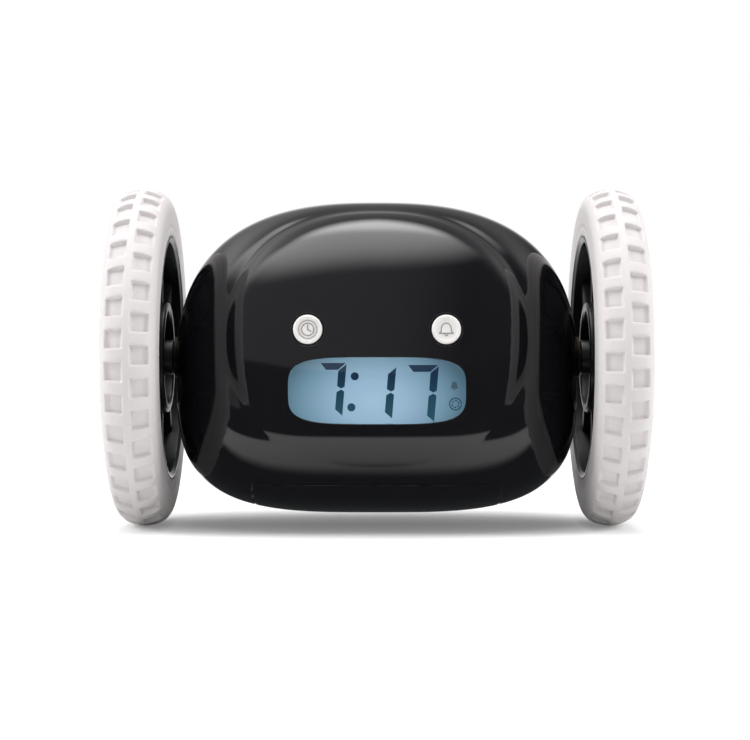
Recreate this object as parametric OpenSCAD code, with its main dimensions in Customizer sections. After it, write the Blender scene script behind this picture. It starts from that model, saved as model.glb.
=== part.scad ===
// Desk alarm clock that drives away on two big treaded wheels.
// Millimetres. The floor is z = 0 and the wheels' axle runs along X at axle_z. The face looks towards -Y.

/* [Wheels] */
// Outside diameter of a wheel, over its tread
wheel_d = 89; // [84:1:96]
// Width of a tyre
tyre_w = 13.8; // [12.6:0.1:16]
// Diameter of the rim that a tyre sits on
rim_d = 64; // [58:1:70]
// Distance between the middle planes of the two tyres
track_w = 122.4; // [122:0.1:130]
// Pockets in each of the two rows of a tread
pocket_n = 34; // [20:1:44]
// Length of the lug between two pockets
lug_len = 3.4; // [2:0.1:5]
// Width of a pocket, across the tread
pocket_w = 4.3; // [3:0.1:4.5]
// Depth of a pocket below the crown
pocket_depth = 1.25; // [0.6:0.05:1.6]
// Width of the rib between the two rows
rib_w = 2.1; // [1:0.1:3]
// Radius of the crown, seen across the tread
crown_r = 10; // [8:0.5:24]
// Radius of a tyre's two shoulders
shoulder_r = 5; // [2:0.1:6]
// Height of the lip round the rim's inner edge
lip_h = 2.8; // [1.5:0.1:4]
// Diameter of the ring round the hub
hub_ring_d = 28; // [20:1:34]
// Spokes of a wheel
spoke_n = 6; // [3:1:8]
// Thickness of a spoke
spoke_t = 2; // [1:0.1:3]

/* [Body] */
// Width of the body
body_w = 105.6; // [104:0.2:106]
// Height of the body above its widest level
top_h = 44.9; // [43:0.1:48]
// Height of the body below its widest level
base_h = 36.9; // [36:0.1:39]
// How far the widest level lies below the axle
waist_drop = 4; // [2:0.1:5]
// Depth of the body, front to back
body_depth = 79; // [77:1:86]
// Roundness of the outline's upper half: 2 is an ellipse, more is squarer
top_power = 2.6; // [2.4:0.05:3]
// Roundness of the outline's lower half
base_power = 3.45; // [3.2:0.05:4]
// Roundness of the body from front to back
depth_power = 2.4; // [2.3:0.05:3]
// Thickness of the shells
wall = 2.2; // [1.8:0.1:2.6]

/* [Face] */
// Width of the raised face panel
face_w = 76.4; // [66:0.2:84]
// Height of the raised face panel
face_h = 64.4; // [56:0.2:68]
// Height of the panel's middle above the axle
face_up = 5; // [2:0.5:7]
// How far the panel swells out of the body
face_rise = 1.6; // [0.4:0.1:2.4]
// Depth of the crease round the panel
crease_depth = 0.9; // [0.2:0.1:1.2]
// Half width of the crease
crease_w = 1.6; // [1:0.1:3]

/* [Display] */
// Width of the display window
window_w = 43.6; // [36:0.2:48]
// Height of the display window
window_h = 16.2; // [12:0.2:18]
// How far the window's middle lies below the axle
window_drop = 8.2; // [7:0.1:10]
// Roundness of the window's outline
window_power = 4; // [3:0.1:6]
// Thickness of the window's lens
lens_t = 1.6; // [1:0.1:2]
// Thickness of the liquid crystal cell
cell_t = 2; // [1.5:0.1:2.5]
// Thickness of the light guide
guide_t = 2.4; // [1.5:0.1:3]

/* [Buttons] */
// Diameter of the round buttons
button_d = 7.2; // [6:0.1:9]
// Gap round a button
button_gap = 0.4; // [0.2:0.05:0.6]
// How far a button stands out
button_out = 0.7; // [0.4:0.1:1.5]
// Travel of a button
button_travel = 0.8; // [0.4:0.1:1]
// Distance between the two buttons on the face
eye_span = 34; // [28:0.5:40]
// Height of the face buttons above the axle
eye_up = 6.85; // [6.5:0.05:10]
// Distance between the two buttons at the back
set_span = 18; // [15:0.5:24]
// Height of the back buttons above the axle
set_up = 15; // [14:0.5:18]
// Length of the snooze bar
snooze_l = 26; // [18:0.5:28]
// Width of the snooze bar
snooze_w = 11; // [8:0.5:12]
// How far the snooze bar lies behind the axle
snooze_back = 10; // [8:0.5:12]

/* [Drive] */
// Module of the gears
gear_m = 0.5; // [0.48:0.01:0.52]
// Teeth of the motor's pinion
pinion_z = 14; // [12:1:15]
// Teeth of the large gear of the cluster
cluster_z = 40; // [36:1:42]
// Teeth of the small gear of the cluster
step_z = 14; // [13:1:15]
// Teeth of the gear on the wheel's axle
output_z = 44; // [40:1:46]
// Direction of the cluster from the axle, in degrees above the rear
cluster_deg = -15; // [-20:1:-10]
// Direction of the motor from the cluster, in degrees above the rear
motor_deg = 107; // [100:1:112]
// Diameter of a motor
motor_d = 20; // [18:0.5:20.5]
// Height of a motor over its two flats
motor_flat = 15; // [13:0.5:16]
// Length of a motor's can
motor_l = 25; // [20:0.5:27]
// Diameter of a wheel's axle
axle_d = 3; // [2.5:0.1:3.4]

/* [Battery] */
// Diameter of a cell
cell_d = 10.5; // [10:0.1:10.6]
// Length of a cell
cell_l = 44.5; // [43:0.1:45]
// Distance between neighbouring cells
cell_pitch = 11; // [10.8:0.1:11.2]
// How far the cells' middles lie below the axle
cell_drop = 28.7; // [28:0.1:29.5]
// Distance from the battery door's screw to the door's side
door_edge = 3.2; // [2.8:0.1:4]
// How far the door's upper edge lies below the axle
door_drop = 32; // [31.6:0.1:33.5]

/* [Inside] */
// Thickness of the circuit boards
board_t = 1.6; // [1:0.1:2]
// Width of the main board
board_w = 64; // [60:1:66]
// Height of the main board
board_h = 42; // [40:1:43]
// Distance of the main board's front from the axle
board_front = 26.5; // [25.5:0.1:27.5]
// Diameter of the loudspeaker
speaker_d = 30; // [24:1:31]
// How far the loudspeaker's middle lies below the axle
speaker_drop = 8; // [7:0.5:9]
// Diameter of a lead, over its sleeve
lead_d = 1.2; // [0.8:0.1:1.4]

/* [Fits] */
// Radial clearance of a shaft in its bearing
run_fit = 0.05; // [0.02:0.01:0.1]
// Gap between neighbouring fixed pieces
seam = 0.1; // [0.05:0.01:0.2]
// Gap between a moving piece and its guide
slide_gap = 0.3; // [0.15:0.05:0.4]

/* [Hidden] */
$fn = 48;

axle_z = wheel_d / 2;
shell_black = [0.05, 0.05, 0.055];
soft_white = [0.9, 0.89, 0.88];
steel = [0.72, 0.73, 0.75];
brass = [0.78, 0.62, 0.3];
board_green = [0.08, 0.32, 0.17];
grey_plastic = [0.3, 0.31, 0.33];
gear_white = [0.86, 0.85, 0.8];

// ---- Placing ----
// The axle's middle is the zero of every piece's own drawing.
module at_axle() translate([0, 0, axle_z]) children();
module side(s) mirror([s < 0 ? 1 : 0, 0, 0]) children();
module tube_x(r, x0, x1) translate([x0, 0, 0]) rotate([0, 90, 0]) cylinder(r = r, h = x1 - x0);
module tube_y(r, y0, y1) translate([0, y0, 0]) rotate([-90, 0, 0]) cylinder(r = r, h = y1 - y0);
module tube_z(r, z0, z1) translate([0, 0, z0]) cylinder(r = r, h = z1 - z0);
module box(lo, hi) translate(lo) cube(hi - lo);
// A flat shape drawn in the plane of Y and Z, given its thickness along X.
module slab_x(x0, x1) translate([x0, 0, 0]) rotate([90, 0, 90]) linear_extrude(x1 - x0) children();
// A flat shape drawn in the plane of X and Z, given its thickness along Y.
module slab_y(y0, y1) translate([0, y1, 0]) rotate([90, 0, 0]) linear_extrude(y1 - y0) children();

// ---- The body's surface ----
half_w = body_w / 2;
half_depth = body_depth / 2;
function signed_power(v, p) = sign(v) * pow(abs(v), p);
function half_height(up, inset) = (up ? top_h : base_h) - inset;
function outline_power(up) = up ? top_power : base_power;
// Corner of the outline, seen from the front, at angle u. The body's middle is the zero here.
function outline(u, inset) = let (up = sin(u) >= 0, p = 2 / outline_power(up)) [
    (half_w - inset) * signed_power(cos(u), p),
    half_height(up, inset) * signed_power(sin(u), p)
];
// Which share of the outline a point x, z lies on.
function level(x, z, inset) = let (up = z + waist_drop >= 0, n = outline_power(up))
    pow(pow(abs(x) / (half_w - inset), n)
        + pow(abs(z + waist_drop) / half_height(up, inset), n), 1 / n);
// Depth of the surface behind or in front of the axle, at x, z.
function skin_y(x, z, inset = 0) =
    (half_depth - inset) * pow(max(1 - pow(level(x, z, inset), depth_power), 0), 1 / depth_power);
// Height of the surface at x, y: up is 1 for the top and -1 for the bottom.
function skin_z(x, y, up, inset = 0) = let (
    n = outline_power(up > 0),
    rho = pow(1 - pow(abs(y) / (half_depth - inset), depth_power), 1 / depth_power),
    rest = max(pow(rho, n) - pow(abs(x) / (half_w - inset), n), 0)
) up * half_height(up > 0, inset) * pow(rest, 1 / n) - waist_drop;

// ---- The raised face panel ----
panel_power = 2.25;
// 1 on the crease, less inside the panel, more outside it.
function panel_level(x, z) =
    pow(pow(abs(x) / (face_w / 2), panel_power)
        + pow(abs(z - face_up) / (face_h / 2), panel_power), 1 / panel_power);
// The crease is full at the top and sides and dies away below the eyes.
function smooth(t) = let (c = min(max(t, 0), 1)) c * c * (3 - 2 * c);
function crease_share(z) = smooth((z + face_h * 0.28) / (face_h * 0.22));
function relief(x, z) = let (f = panel_level(x, z), share = crease_share(z))
    face_rise * (1 - pow(min(f, 1), 2.5 + 4 * share))
    - crease_depth * share * exp(-pow((f - 1) * face_w / 2 / crease_w, 2));
// Where a ray from the body's middle at angle u meets the crease, as a share of the outline.
function crease_rho(u, lo = 0.2, hi = 0.97, n = 12) = n == 0 ? (lo + hi) / 2 :
    let (mid = (lo + hi) / 2, p = outline(u, 0) * mid)
    panel_level(p[0], p[1] - waist_drop) < 1
        ? crease_rho(u, mid, hi, n - 1) : crease_rho(u, lo, mid, n - 1);

// How far a round post of radius r at x, z may reach and still end inside the wall.
function wall_reach(x, z, r) = min([for (a = [0:30:330])
    skin_y(x + r * cos(a), z + r * sin(a), wall * 0.7)]);

// ---- The two shells ----
around = 64;
panel_rings = [0.22, 0.42, 0.6, 0.75, 0.86, 0.93, 0.97, 1];
margin_rings = [0.1, 0.22, 0.42, 0.68, 1];
plain_rings = [0.12, 0.26, 0.4, 0.54, 0.66, 0.77, 0.86, 0.93, 1];
function angle_of(rho) = asin(pow(rho, depth_power / 2));
// A point of the surface at angle u round the outline and v from the middle out to the edge.
function skin_point(u, v, facing, inset, shaped) = let (
    rho = pow(sin(v), 2 / depth_power),
    flat = outline(u, 0) * rho,
    grown = inset - (shaped ? relief(flat[0], flat[1] - waist_drop) * (1 - pow(rho, 12)) : 0),
    p = outline(u, grown) * rho
) [p[0], facing * (half_depth - grown) * pow(max(cos(v), 0), 2 / depth_power), p[1] - waist_drop];
function ring_angles(u, shaped) = shaped
    ? let (vc = angle_of(crease_rho(u))) concat([for (t = panel_rings) t * vc],
        [for (t = margin_rings) vc + (90 - vc) * t])
    : 90 * plain_rings;
function ring_points(facing, inset, shaped) = let (
    angles = [for (i = [0:around - 1]) ring_angles(i * 360 / around, shaped)]
) [for (j = [0:len(angles[0]) - 1], i = [0:around - 1])
    skin_point(i * 360 / around, angles[i][j], facing, inset, shaped)];
// Triangles between two neighbouring rings that start at points a and b.
function band(a, b, flip) = [for (i = [0:around - 1]) let (k = (i + 1) % around)
    each flip ? [[a + i, a + k, b + i], [a + k, b + k, b + i]]
              : [[a + i, b + i, a + k], [a + k, b + i, b + k]]];
function fan(tip, a, flip) = [for (i = [0:around - 1]) let (k = (i + 1) % around)
    flip ? [tip, a + k, a + i] : [tip, a + i, a + k]];

// One half of the body: outer skin, inner skin and the flat rim between them.
module half_shell(facing, shaped) {
    outer = ring_points(facing, 0, shaped);
    inner = ring_points(facing, wall, false);
    no = len(outer);
    ni = len(inner);
    bulge = shaped ? relief(0, -waist_drop) : 0;
    tips = [[0, facing * (half_depth + bulge), -waist_drop], [0, facing * (half_depth - wall), -waist_drop]];
    flip = facing < 0;
    polyhedron(
        points = concat(outer, inner, tips),
        faces = concat(
            fan(no + ni, 0, flip),
            [for (j = [0:around:no - 2 * around]) each band(j, j + around, flip)],
            band(no - around, no + ni - around, flip),
            [for (j = [0:around:ni - 2 * around]) each band(no + j + around, no + j, flip)],
            fan(no + ni + 1, no, !flip)
        )
    );
}

// ---- Window ----
function window_points(grow) = [for (i = [0:63]) let (u = i * 360 / 64, p = 2 / window_power) [
    (window_w / 2 + grow) * signed_power(cos(u), p),
    (window_h / 2 + grow) * signed_power(sin(u), p)
]];
module window_shape(grow) translate([0, -window_drop]) polygon(window_points(grow));
// The lens is a layer of the face's own curve, between two depths below it.
lens_recess = 0.35;
flange_w = 1.5;
flange_t = 0.8;
layer_cols = 18;
layer_rows = 8;
function face_y(x, z) = skin_y(x, z) + relief(x, z);
function layer_points(depth) = [for (i = [0:layer_cols], j = [0:layer_rows]) let (
    x = (window_w + 4 * flange_w) * (i / layer_cols - 0.5),
    z = (window_h + 4 * flange_w) * (j / layer_rows - 0.5) - window_drop
) [x, depth - face_y(x, z), z]];
// Closes a grid of points and the same grid moved: front and back faces and the edge between them.
function grid_faces(cols, rows) = let (
    m = (cols + 1) * (rows + 1),
    rim = concat([for (i = [0:cols - 1]) i * (rows + 1)],
        [for (j = [0:rows - 1]) cols * (rows + 1) + j],
        [for (i = [cols:-1:1]) i * (rows + 1) + rows], [for (j = [rows:-1:1]) j])
) concat(
    [for (i = [0:cols - 1], j = [0:rows - 1]) let (
        a = i * (rows + 1) + j, b = a + rows + 1, c = b + 1, d = a + 1)
        each [[a, b, c], [a, c, d], [a + m, c + m, b + m], [a + m, d + m, c + m]]],
    [for (i = [0:len(rim) - 1]) let (a = rim[i], b = rim[(i + 1) % len(rim)])
        each [[a, b + m, b], [a, a + m, b + m]]]
);
module face_layer(d0, d1) polyhedron(points = concat(layer_points(d1), layer_points(d0)),
    faces = grid_faces(layer_cols, layer_rows));

// ---- Buttons ----
button_r = button_d / 2;
hole_r = button_r + button_gap;
collar_r = hole_r + 0.9;
pad_r = hole_r + 2.2;
stem_r = 1.3;
collar_t = 0.9;
eye_x = eye_span / 2;
set_x = set_span / 2;
pad_t = 1.2;
eye_skin = skin_y(eye_x, eye_up) + relief(eye_x, eye_up);
set_skin = skin_y(set_x, set_up);
eye_pad = wall_reach(eye_x, eye_up, pad_r);
set_pad = wall_reach(set_x, set_up, pad_r);
eye_seat = eye_pad - pad_t;
set_seat = set_pad - pad_t;
// How far back the collar of a pressed face button comes, and a gap more
collar_back = eye_seat - seam - collar_t - button_travel - slide_gap;
// A round button drawn along +Z: its face is at z = 0, its collar's seat at -seat and its tip at -reach.
module round_button(seat, reach) {
    edge = 0.5;
    translate([0, 0, -edge]) cylinder(r1 = button_r, r2 = button_r - edge, h = edge);
    tube_z(button_r, -seat - seam, -edge);
    tube_z(collar_r, -seat - seam - collar_t, -seat - seam);
    tube_z(stem_r, -reach, -seat - seam - collar_t);
}
module facing_front(x, y, z) translate([x, -y, z]) rotate([90, 0, 0]) children();
module facing_back(x, y, z) translate([x, y, z]) rotate([-90, 0, 0]) children();

// ---- Tact switches ----
tact_w = 6;
tact_h = 3.5;
plunger_r = 1.7;
plunger_out = 1.5;
plunger_in = 1.4;
// A switch drawn along +Z, standing on its board at z = 0.
module tact_body() {
    difference() {
        translate([-tact_w / 2, -tact_w / 2, 0]) cube([tact_w, tact_w, tact_h]);
        tube_z(plunger_r + run_fit, tact_h - plunger_in - button_travel - slide_gap, tact_h + 1);
    }
    for (sx = [-1, 1], sy = [-1, 1])
        translate([sx * (tact_w / 2 + 0.35) - 0.35, sy * 2.2 - 0.4, 0]) cube([0.7, 0.8, 0.6]);
}
module tact_plunger() tube_z(plunger_r, tact_h - plunger_in, tact_h + plunger_out);
tact_top = tact_h + plunger_out;

// ---- Boards ----
board_mid = 2;
board_hole_x = board_w / 2 - 3.2;
board_hole_z = board_h / 2 - 3.2;
board_high = board_h / 2 - board_mid;
board_low = -board_h / 2 - board_mid;
// The lower corners are cut off to clear the shell
corner_cut = 3.4;
rear_board_w = set_span + 22;
rear_board_h = 12;
set_reach = set_skin + button_out - set_seat + seam + collar_t + 2.2;
rear_board_y = set_skin + button_out - set_reach - tact_top;
rear_hole_x = rear_board_w / 2 - 3;
eye_reach = eye_skin + button_out - board_front - tact_top;
snooze_plate = skin_z(snooze_l / 2, snooze_back + snooze_w / 2, 1, wall) - 0.6;
snooze_board_z = snooze_plate - 1.2 - tact_top - 0.4;
snooze_board_w = 22;
snooze_board_l = 11;
post_r = 2.4;
screw_r = 1;
pilot_r = 0.85;
boss_r = 3.5;
head_r = 2.1;
head_h = 1.5;

// ---- Battery ----
cell_ys = [for (i = [-1.5:1:1.5]) i * cell_pitch];
tray_t = 1.4;
tray_top = cell_drop - cell_d / 2 - slide_gap - tray_t;
contact_room = 2.8;
tray_x = cell_l / 2 + contact_room + tray_t;
tray_y = 2 * cell_pitch + tray_t + 0.2;
tray_low = door_drop - 0.5;
door_boss_r = 2.2;
door_screw_x = tray_x + door_boss_r;
door_w = 2 * (door_screw_x + door_edge);

// ---- Places of the shell screws: x and z, above and below ----
top_boss = [24, 26];
low_boss = [door_screw_x + door_boss_r + boss_r + 0.65, -21.5];
boss_places = [for (s = [-1, 1], p = [top_boss, low_boss]) [s * p[0], p[1]]];
screw_seat = 7;
tray_wing_t = 1.6;
function boss_start(z) = z < 0 ? tray_wing_t / 2 + seam : seam / 2;

// ---- Drive ----
plate_t = 1.6;
inner_plate = 34;
outer_plate = 45.6;
output_x = [41, 44];
cluster_x = [37, 39.6];
step_x = [39.6, 44.8];
pinion_x = [36.8, 39.8];
cluster_at = gear_m * (output_z + step_z) / 2 * [cos(cluster_deg), sin(cluster_deg)];
motor_at = cluster_at + gear_m * (cluster_z + pinion_z) / 2 * [cos(motor_deg), sin(motor_deg)];
axle_r = axle_d / 2;
pin_r = 1;
shaft_r = 1;
post_places = [for (a = [135, 207, 290]) (gear_m * output_z / 2 + 3) * [cos(a), sin(a)]];
bush_r = 4;
bush_flange = 5.4;
bush_in = 47.8;
bush_out = half_w + 0.75;
ear_y = [for (t = [0, plate_t]) motor_at[0] + motor_d / 2 + head_h + 0.5 + t];
ear_x = inner_plate - 4;
ear_zs = [9.5, -12];

// ---- Wheels ----
rim_r = rim_d / 2;
rim_in = track_w / 2 - tyre_w / 2;
rim_out = track_w / 2 + tyre_w / 2;
hub_in = bush_out + slide_gap;
ring_in = rim_in + 0.85;
web_in = rim_in + 5;
web_t = 1.8;
barrel_t = 1.6;
hub_r = 4.6;
hub_out = web_in + web_t + 2;
key_r = 1;
key_w = 3;

// ---- Loudspeaker ----
speaker_r = speaker_d / 2;
speaker_front = skin_y(0, -speaker_drop - speaker_r - 1.2, wall) - 0.4;
speaker_h = 8;

// ================================================================ Shells
module boss(p, facing) translate([p[0], 0, p[1]]) {
    reach = wall_reach(p[0], p[1], boss_r);
    tube_y(boss_r, facing < 0 ? -reach : boss_start(p[1]), facing < 0 ? -boss_start(p[1]) : reach);
}
module post(x, z, tip, facing) translate([x, 0, z]) {
    reach = wall_reach(x, z, post_r);
    tube_y(post_r, facing < 0 ? -reach : tip, facing < 0 ? -tip : reach);
}
// The opening for the battery door.
module door_cut() box([-door_w / 2 - seam, -half_depth, -base_h - waist_drop - 5],
    [door_w / 2 + seam, half_depth, -door_drop + seam]);
// The half rings in which the axle's bushes lie.
module bush_seats(facing) intersection() {
    for (s = [-1, 1]) side(s) tube_x(bush_r + 2.6, bush_in - 0.2, half_w - wall / 2 - 0.4);
    box([-half_w, facing < 0 ? -20 : seam / 2, -20], [half_w, facing < 0 ? -seam / 2 : 20, 20]);
}
module bush_holes() for (s = [-1, 1]) side(s) tube_x(bush_r + seam / 2, bush_in - 1, half_w + 1);
module seam_slice(facing) box([-half_w - 1, facing < 0 ? -seam / 2 : -1, -60],
    [half_w + 1, facing < 0 ? 1 : seam / 2, 60]);

module front_shell() color(shell_black) at_axle() difference() {
    union() {
        half_shell(-1, true);
        for (p = boss_places) boss(p, -1);
        for (s = [-1, 1], t = [-1, 1])
            post(s * board_hole_x, t * board_hole_z - board_mid, board_front + seam / 2, -1);
        for (s = [-1, 1]) translate([s * eye_x, 0, eye_up])
            tube_y(pad_r, -eye_pad, -eye_seat);
        bush_seats(-1);
    }
    seam_slice(-1);
    door_cut();
    bush_holes();
    slab_y(-half_depth - 5, -board_front - 4) window_shape(seam);
    intersection() {
        slab_y(-half_depth - 5, -board_front - 4) window_shape(flange_w + seam);
        face_layer(lens_recess + lens_t - flange_t - seam, lens_recess + lens_t + 4);
    }
    for (s = [-1, 1]) translate([s * eye_x, 0, eye_up]) tube_y(hole_r, -half_depth - 5, -eye_seat + 1);
    // Room for the glass and for the frame's two hooks
    slab_y(-glass_front - seam, -board_front) window_frame(seam);
    for (s = [-1, 1]) translate([0, 0, -window_drop]) side(s)
        box([glass_w / 2 - 1, -glass_front - hook_t - 2 * seam, -2.2],
            [glass_w / 2 + frame_t + 2 * seam, -board_front, 2.2]);
    for (p = boss_places) translate([p[0], 0, p[1]]) tube_y(pilot_r, -9.5, 1);
    for (s = [-1, 1], t = [-1, 1]) translate([s * board_hole_x, 0, t * board_hole_z - board_mid])
        tube_y(pilot_r, -board_front - 3.2, -board_front + 1);
}

module grille_holes() for (i = [-3:3], j = [-3:3]) {
    x = 4 * (i + j / 2);
    z = 4 * j * sin(60);
    if (norm([x, z]) < speaker_r * 0.62)
        translate([x, 0, z - speaker_drop]) tube_y(1.1, speaker_front + 1, half_depth + 2);
}
module snooze_outline(grow) hull() for (s = [-1, 1])
    translate([s * (snooze_l - snooze_w) / 2, snooze_back]) circle(r = snooze_w / 2 + grow);
module rear_shell() color(shell_black) at_axle() difference() {
    union() {
        half_shell(1, false);
        for (p = boss_places) boss(p, 1);
        for (s = [-1, 1]) {
            post(s * rear_hole_x, set_up, rear_board_y + seam / 2, 1);
            translate([s * set_x, 0, set_up]) tube_y(pad_r, set_seat, set_pad);
            for (z = ear_zs) post(s * ear_x, z, ear_y[1] + seam / 2, 1);
            translate([s * (snooze_board_w / 2 - 2.6), snooze_back, 0])
                tube_z(post_r - 0.5, snooze_board_z + seam / 2, skin_z(snooze_board_w / 2, snooze_back, 1) - wall / 2);
        }
        translate([0, 0, -speaker_drop]) difference() {
            tube_y(speaker_r + 1.6, speaker_front, wall_reach(0, -speaker_drop, speaker_r + 1.6));
            tube_y(speaker_r - 1.4, speaker_front - 1, half_depth);
        }
        bush_seats(1);
    }
    seam_slice(1);
    door_cut();
    bush_holes();
    grille_holes();
    linear_extrude(60) snooze_outline(slide_gap);
    for (s = [-1, 1]) {
        translate([s * set_x, 0, set_up]) tube_y(hole_r, set_seat - 1, half_depth + 2);
        translate([s * rear_hole_x, 0, set_up]) tube_y(pilot_r, rear_board_y - 1, rear_board_y + 4);
        for (z = ear_zs) translate([s * ear_x, 0, z]) tube_y(pilot_r, ear_y[1] - 1, ear_y[1] + 4.5);
    }
    for (p = boss_places) translate([p[0], 0, p[1]]) {
        tube_y(screw_r + 0.2, -1, half_depth);
        tube_y(head_r + 0.3, screw_seat, half_depth);
    }
}

// ================================================================ Display
module lcd_lens() color([0.75, 0.82, 0.88, 0.4]) at_axle() {
    intersection() {
        slab_y(-half_depth - 5, -board_front) window_shape(0);
        face_layer(lens_recess, lens_recess + lens_t);
    }
    intersection() {
        slab_y(-half_depth - 5, -board_front) window_shape(flange_w);
        face_layer(lens_recess + lens_t - flange_t, lens_recess + lens_t);
    }
}
glass_w = window_w + 2;
glass_h = window_h + 2;
frame_t = 1.4;
guide_back = board_front + 3;
glass_back = guide_back + guide_t + seam;
glass_front = glass_back + cell_t;
frame_front = glass_front - 1;
module window_frame(grow) translate([-glass_w / 2 - grow, -window_drop - glass_h / 2 - grow])
    square([glass_w + 2 * grow, glass_h + 2 * grow]);
hook_t = 0.4;
module lcd_frame() color(shell_black) at_axle() {
    difference() {
        slab_y(-frame_front, -board_front - seam) difference() {
            window_frame(frame_t + seam);
            window_frame(seam);
        }
        // Room for the collars of the two buttons above, also when they are pressed
        for (s = [-1, 1]) translate([s * eye_x, 0, eye_up])
            tube_y(collar_r + slide_gap + 0.1, -half_depth, -collar_back);
    }
    // Hooks over the two ends of the glass, and the feet on the board
    for (s = [-1, 1]) translate([0, 0, -window_drop]) side(s) {
        box([glass_w / 2 + seam, -glass_front - seam - hook_t, -2], [glass_w / 2 + seam + frame_t, -frame_front, 2]);
        box([glass_w / 2 - 0.4, -glass_front - seam - hook_t, -2], [glass_w / 2 + seam, -glass_front - seam, 2]);
        box([glass_w / 2 + 1, -board_front - 1.4, -2.5], [glass_w / 2 + 4.8, -board_front - seam, 2.5]);
    }
}
module lcd_glass() color([0.45, 0.6, 0.72, 0.8]) at_axle() difference() {
    box([-glass_w / 2, -glass_front, -window_drop - glass_h / 2],
        [glass_w / 2, -glass_back, -window_drop + glass_h / 2]);
    // The rear sheet is shorter: its step carries the contacts
    box([-glass_w, -glass_back - cell_t / 2, -window_drop + glass_h / 2 - 1.2],
        [glass_w, -glass_back + 1, -window_drop + glass_h]);
}
module light_guide() color([0.85, 0.9, 0.95, 0.7]) at_axle() {
    box([-glass_w / 2, -guide_back - guide_t, -window_drop - glass_h / 2],
        [glass_w / 2, -guide_back, -window_drop + glass_h / 2 - 1.6]);
    for (s = [-1, 1]) box([s * glass_w * 0.3 - 2, -guide_back, -window_drop - 3],
        [s * glass_w * 0.3 + 2, -board_front - seam, -window_drop + 3]);
}
module zebra_strips() color("dimgray") at_axle()
    box([-glass_w / 2 + 1, -glass_back - cell_t / 2, -window_drop + glass_h / 2 - 1.1],
        [glass_w / 2 - 1, -board_front - seam, -window_drop + glass_h / 2 - 0.1]);

// ================================================================ Boards
module main_board() color(board_green) at_axle() slab_y(-board_front, -board_front + board_t)
    difference() {
        polygon([
            [-board_w / 2, board_high], [-board_w / 2, board_low + corner_cut],
            [-board_w / 2 + corner_cut, board_low], [board_w / 2 - corner_cut, board_low],
            [board_w / 2, board_low + corner_cut], [board_w / 2, board_high]
        ]);
        for (s = [-1, 1], t = [-1, 1]) translate([s * board_hole_x, t * board_hole_z - board_mid])
            circle(r = screw_r + 0.1);
    }
board_back = -board_front + board_t;
module board_parts() color("#202022") at_axle() {
    // Controller, motor driver, crystal, capacitors and lead plugs on the back of the main board
    box([-7, board_back, -4], [7, board_back + 1.8, 8]);
    for (s = [-1, 1]) {
        for (i = [0:5]) box([s * 7.5 - 0.5, board_back, -3 + i * 2], [s * 7.5 + 0.5, board_back + 0.5, -2 + i * 2]);
        box([s * 20 - 2.6, board_back, -10], [s * 20 + 2.6, board_back + 1.6, -4]);
        translate([s * 13, 0, 14]) tube_y(2.5, board_back, board_back + 5);
        box([s * 24 - 3, board_back, 3], [s * 24 + 3, board_back + 5, 8]);
    }
    translate([0, 0, -9]) hull() for (s = [-1, 1]) translate([s * 3.4, 0, 0])
        tube_y(1.8, board_back, board_back + 2.6);
    box([-6, board_back, -21], [6, board_back + 5, -15.5]);
    // Light behind the display
    box([-3, -board_front - 1, -window_drop - 1.5], [3, -board_front, -window_drop + 1.5]);
}
module tact_switches() color("#2b2b2d") at_axle() {
    for (s = [-1, 1]) facing_front(s * eye_x, board_front, eye_up) tact_body();
    for (s = [-1, 1]) facing_back(s * set_x, rear_board_y, set_up) tact_body();
    translate([0, snooze_back, snooze_board_z]) tact_body();
}
module rear_board() color(board_green) at_axle() slab_y(rear_board_y - board_t, rear_board_y)
    difference() {
        translate([-rear_board_w / 2, set_up - rear_board_h / 2]) square([rear_board_w, rear_board_h]);
        for (s = [-1, 1]) translate([s * rear_hole_x, set_up]) circle(r = screw_r + 0.1);
    }
module snooze_board() color(board_green) at_axle() difference() {
    box([-snooze_board_w / 2, snooze_back - snooze_board_l / 2, snooze_board_z - board_t],
        [snooze_board_w / 2, snooze_back + snooze_board_l / 2, snooze_board_z]);
    for (s = [-1, 1]) translate([s * (snooze_board_w / 2 - 2.6), snooze_back, snooze_board_z - board_t - 1])
        cylinder(r = screw_r + 0.1, h = board_t + 2);
}
// A cross-head screw drawn along -Z: its seat is z = 0.
module screw(l, r = screw_r, head = head_r) difference() {
    union() {
        tube_z(head, 0, head_h);
        tube_z(r, -l, 0);
    }
    for (a = [0, 90]) rotate(a) translate([-head * 0.6, -0.25, head_h - 0.8]) cube([head * 1.2, 0.5, 1]);
}
pilot_screw = pilot_r - seam / 2;
module board_screws() color(steel) at_axle() {
    for (s = [-1, 1], t = [-1, 1]) translate([s * board_hole_x, board_back + seam / 2, t * board_hole_z - board_mid])
        rotate([-90, 0, 0]) screw(4.2, pilot_screw);
    for (s = [-1, 1]) translate([s * rear_hole_x, rear_board_y - board_t - seam / 2, set_up])
        rotate([90, 0, 0]) screw(4.6, pilot_screw);
}

// ================================================================ Buttons
module eye_button(s) color(soft_white) at_axle()
    facing_front(s * eye_x, eye_skin + button_out, eye_up)
        round_button(eye_skin + button_out - eye_seat, eye_reach);
module eye_plunger(s) color("#b0b0b2") at_axle()
    facing_front(s * eye_x, board_front, eye_up) tact_plunger();
module set_button(s) color(soft_white) at_axle()
    facing_back(s * set_x, set_skin + button_out, set_up)
        round_button(set_skin + button_out - set_seat, set_reach);
module set_plunger(s) color("#b0b0b2") at_axle()
    facing_back(s * set_x, rear_board_y, set_up) tact_plunger();
module time_button() eye_button(-1);
module time_plunger() eye_plunger(-1);
module alarm_button() eye_button(1);
module alarm_plunger() eye_plunger(1);
// Seen from behind, plus lies on the right.
module plus_button() set_button(-1);
module plus_plunger() set_plunger(-1);
module minus_button() set_button(1);
module minus_plunger() set_plunger(1);

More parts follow.
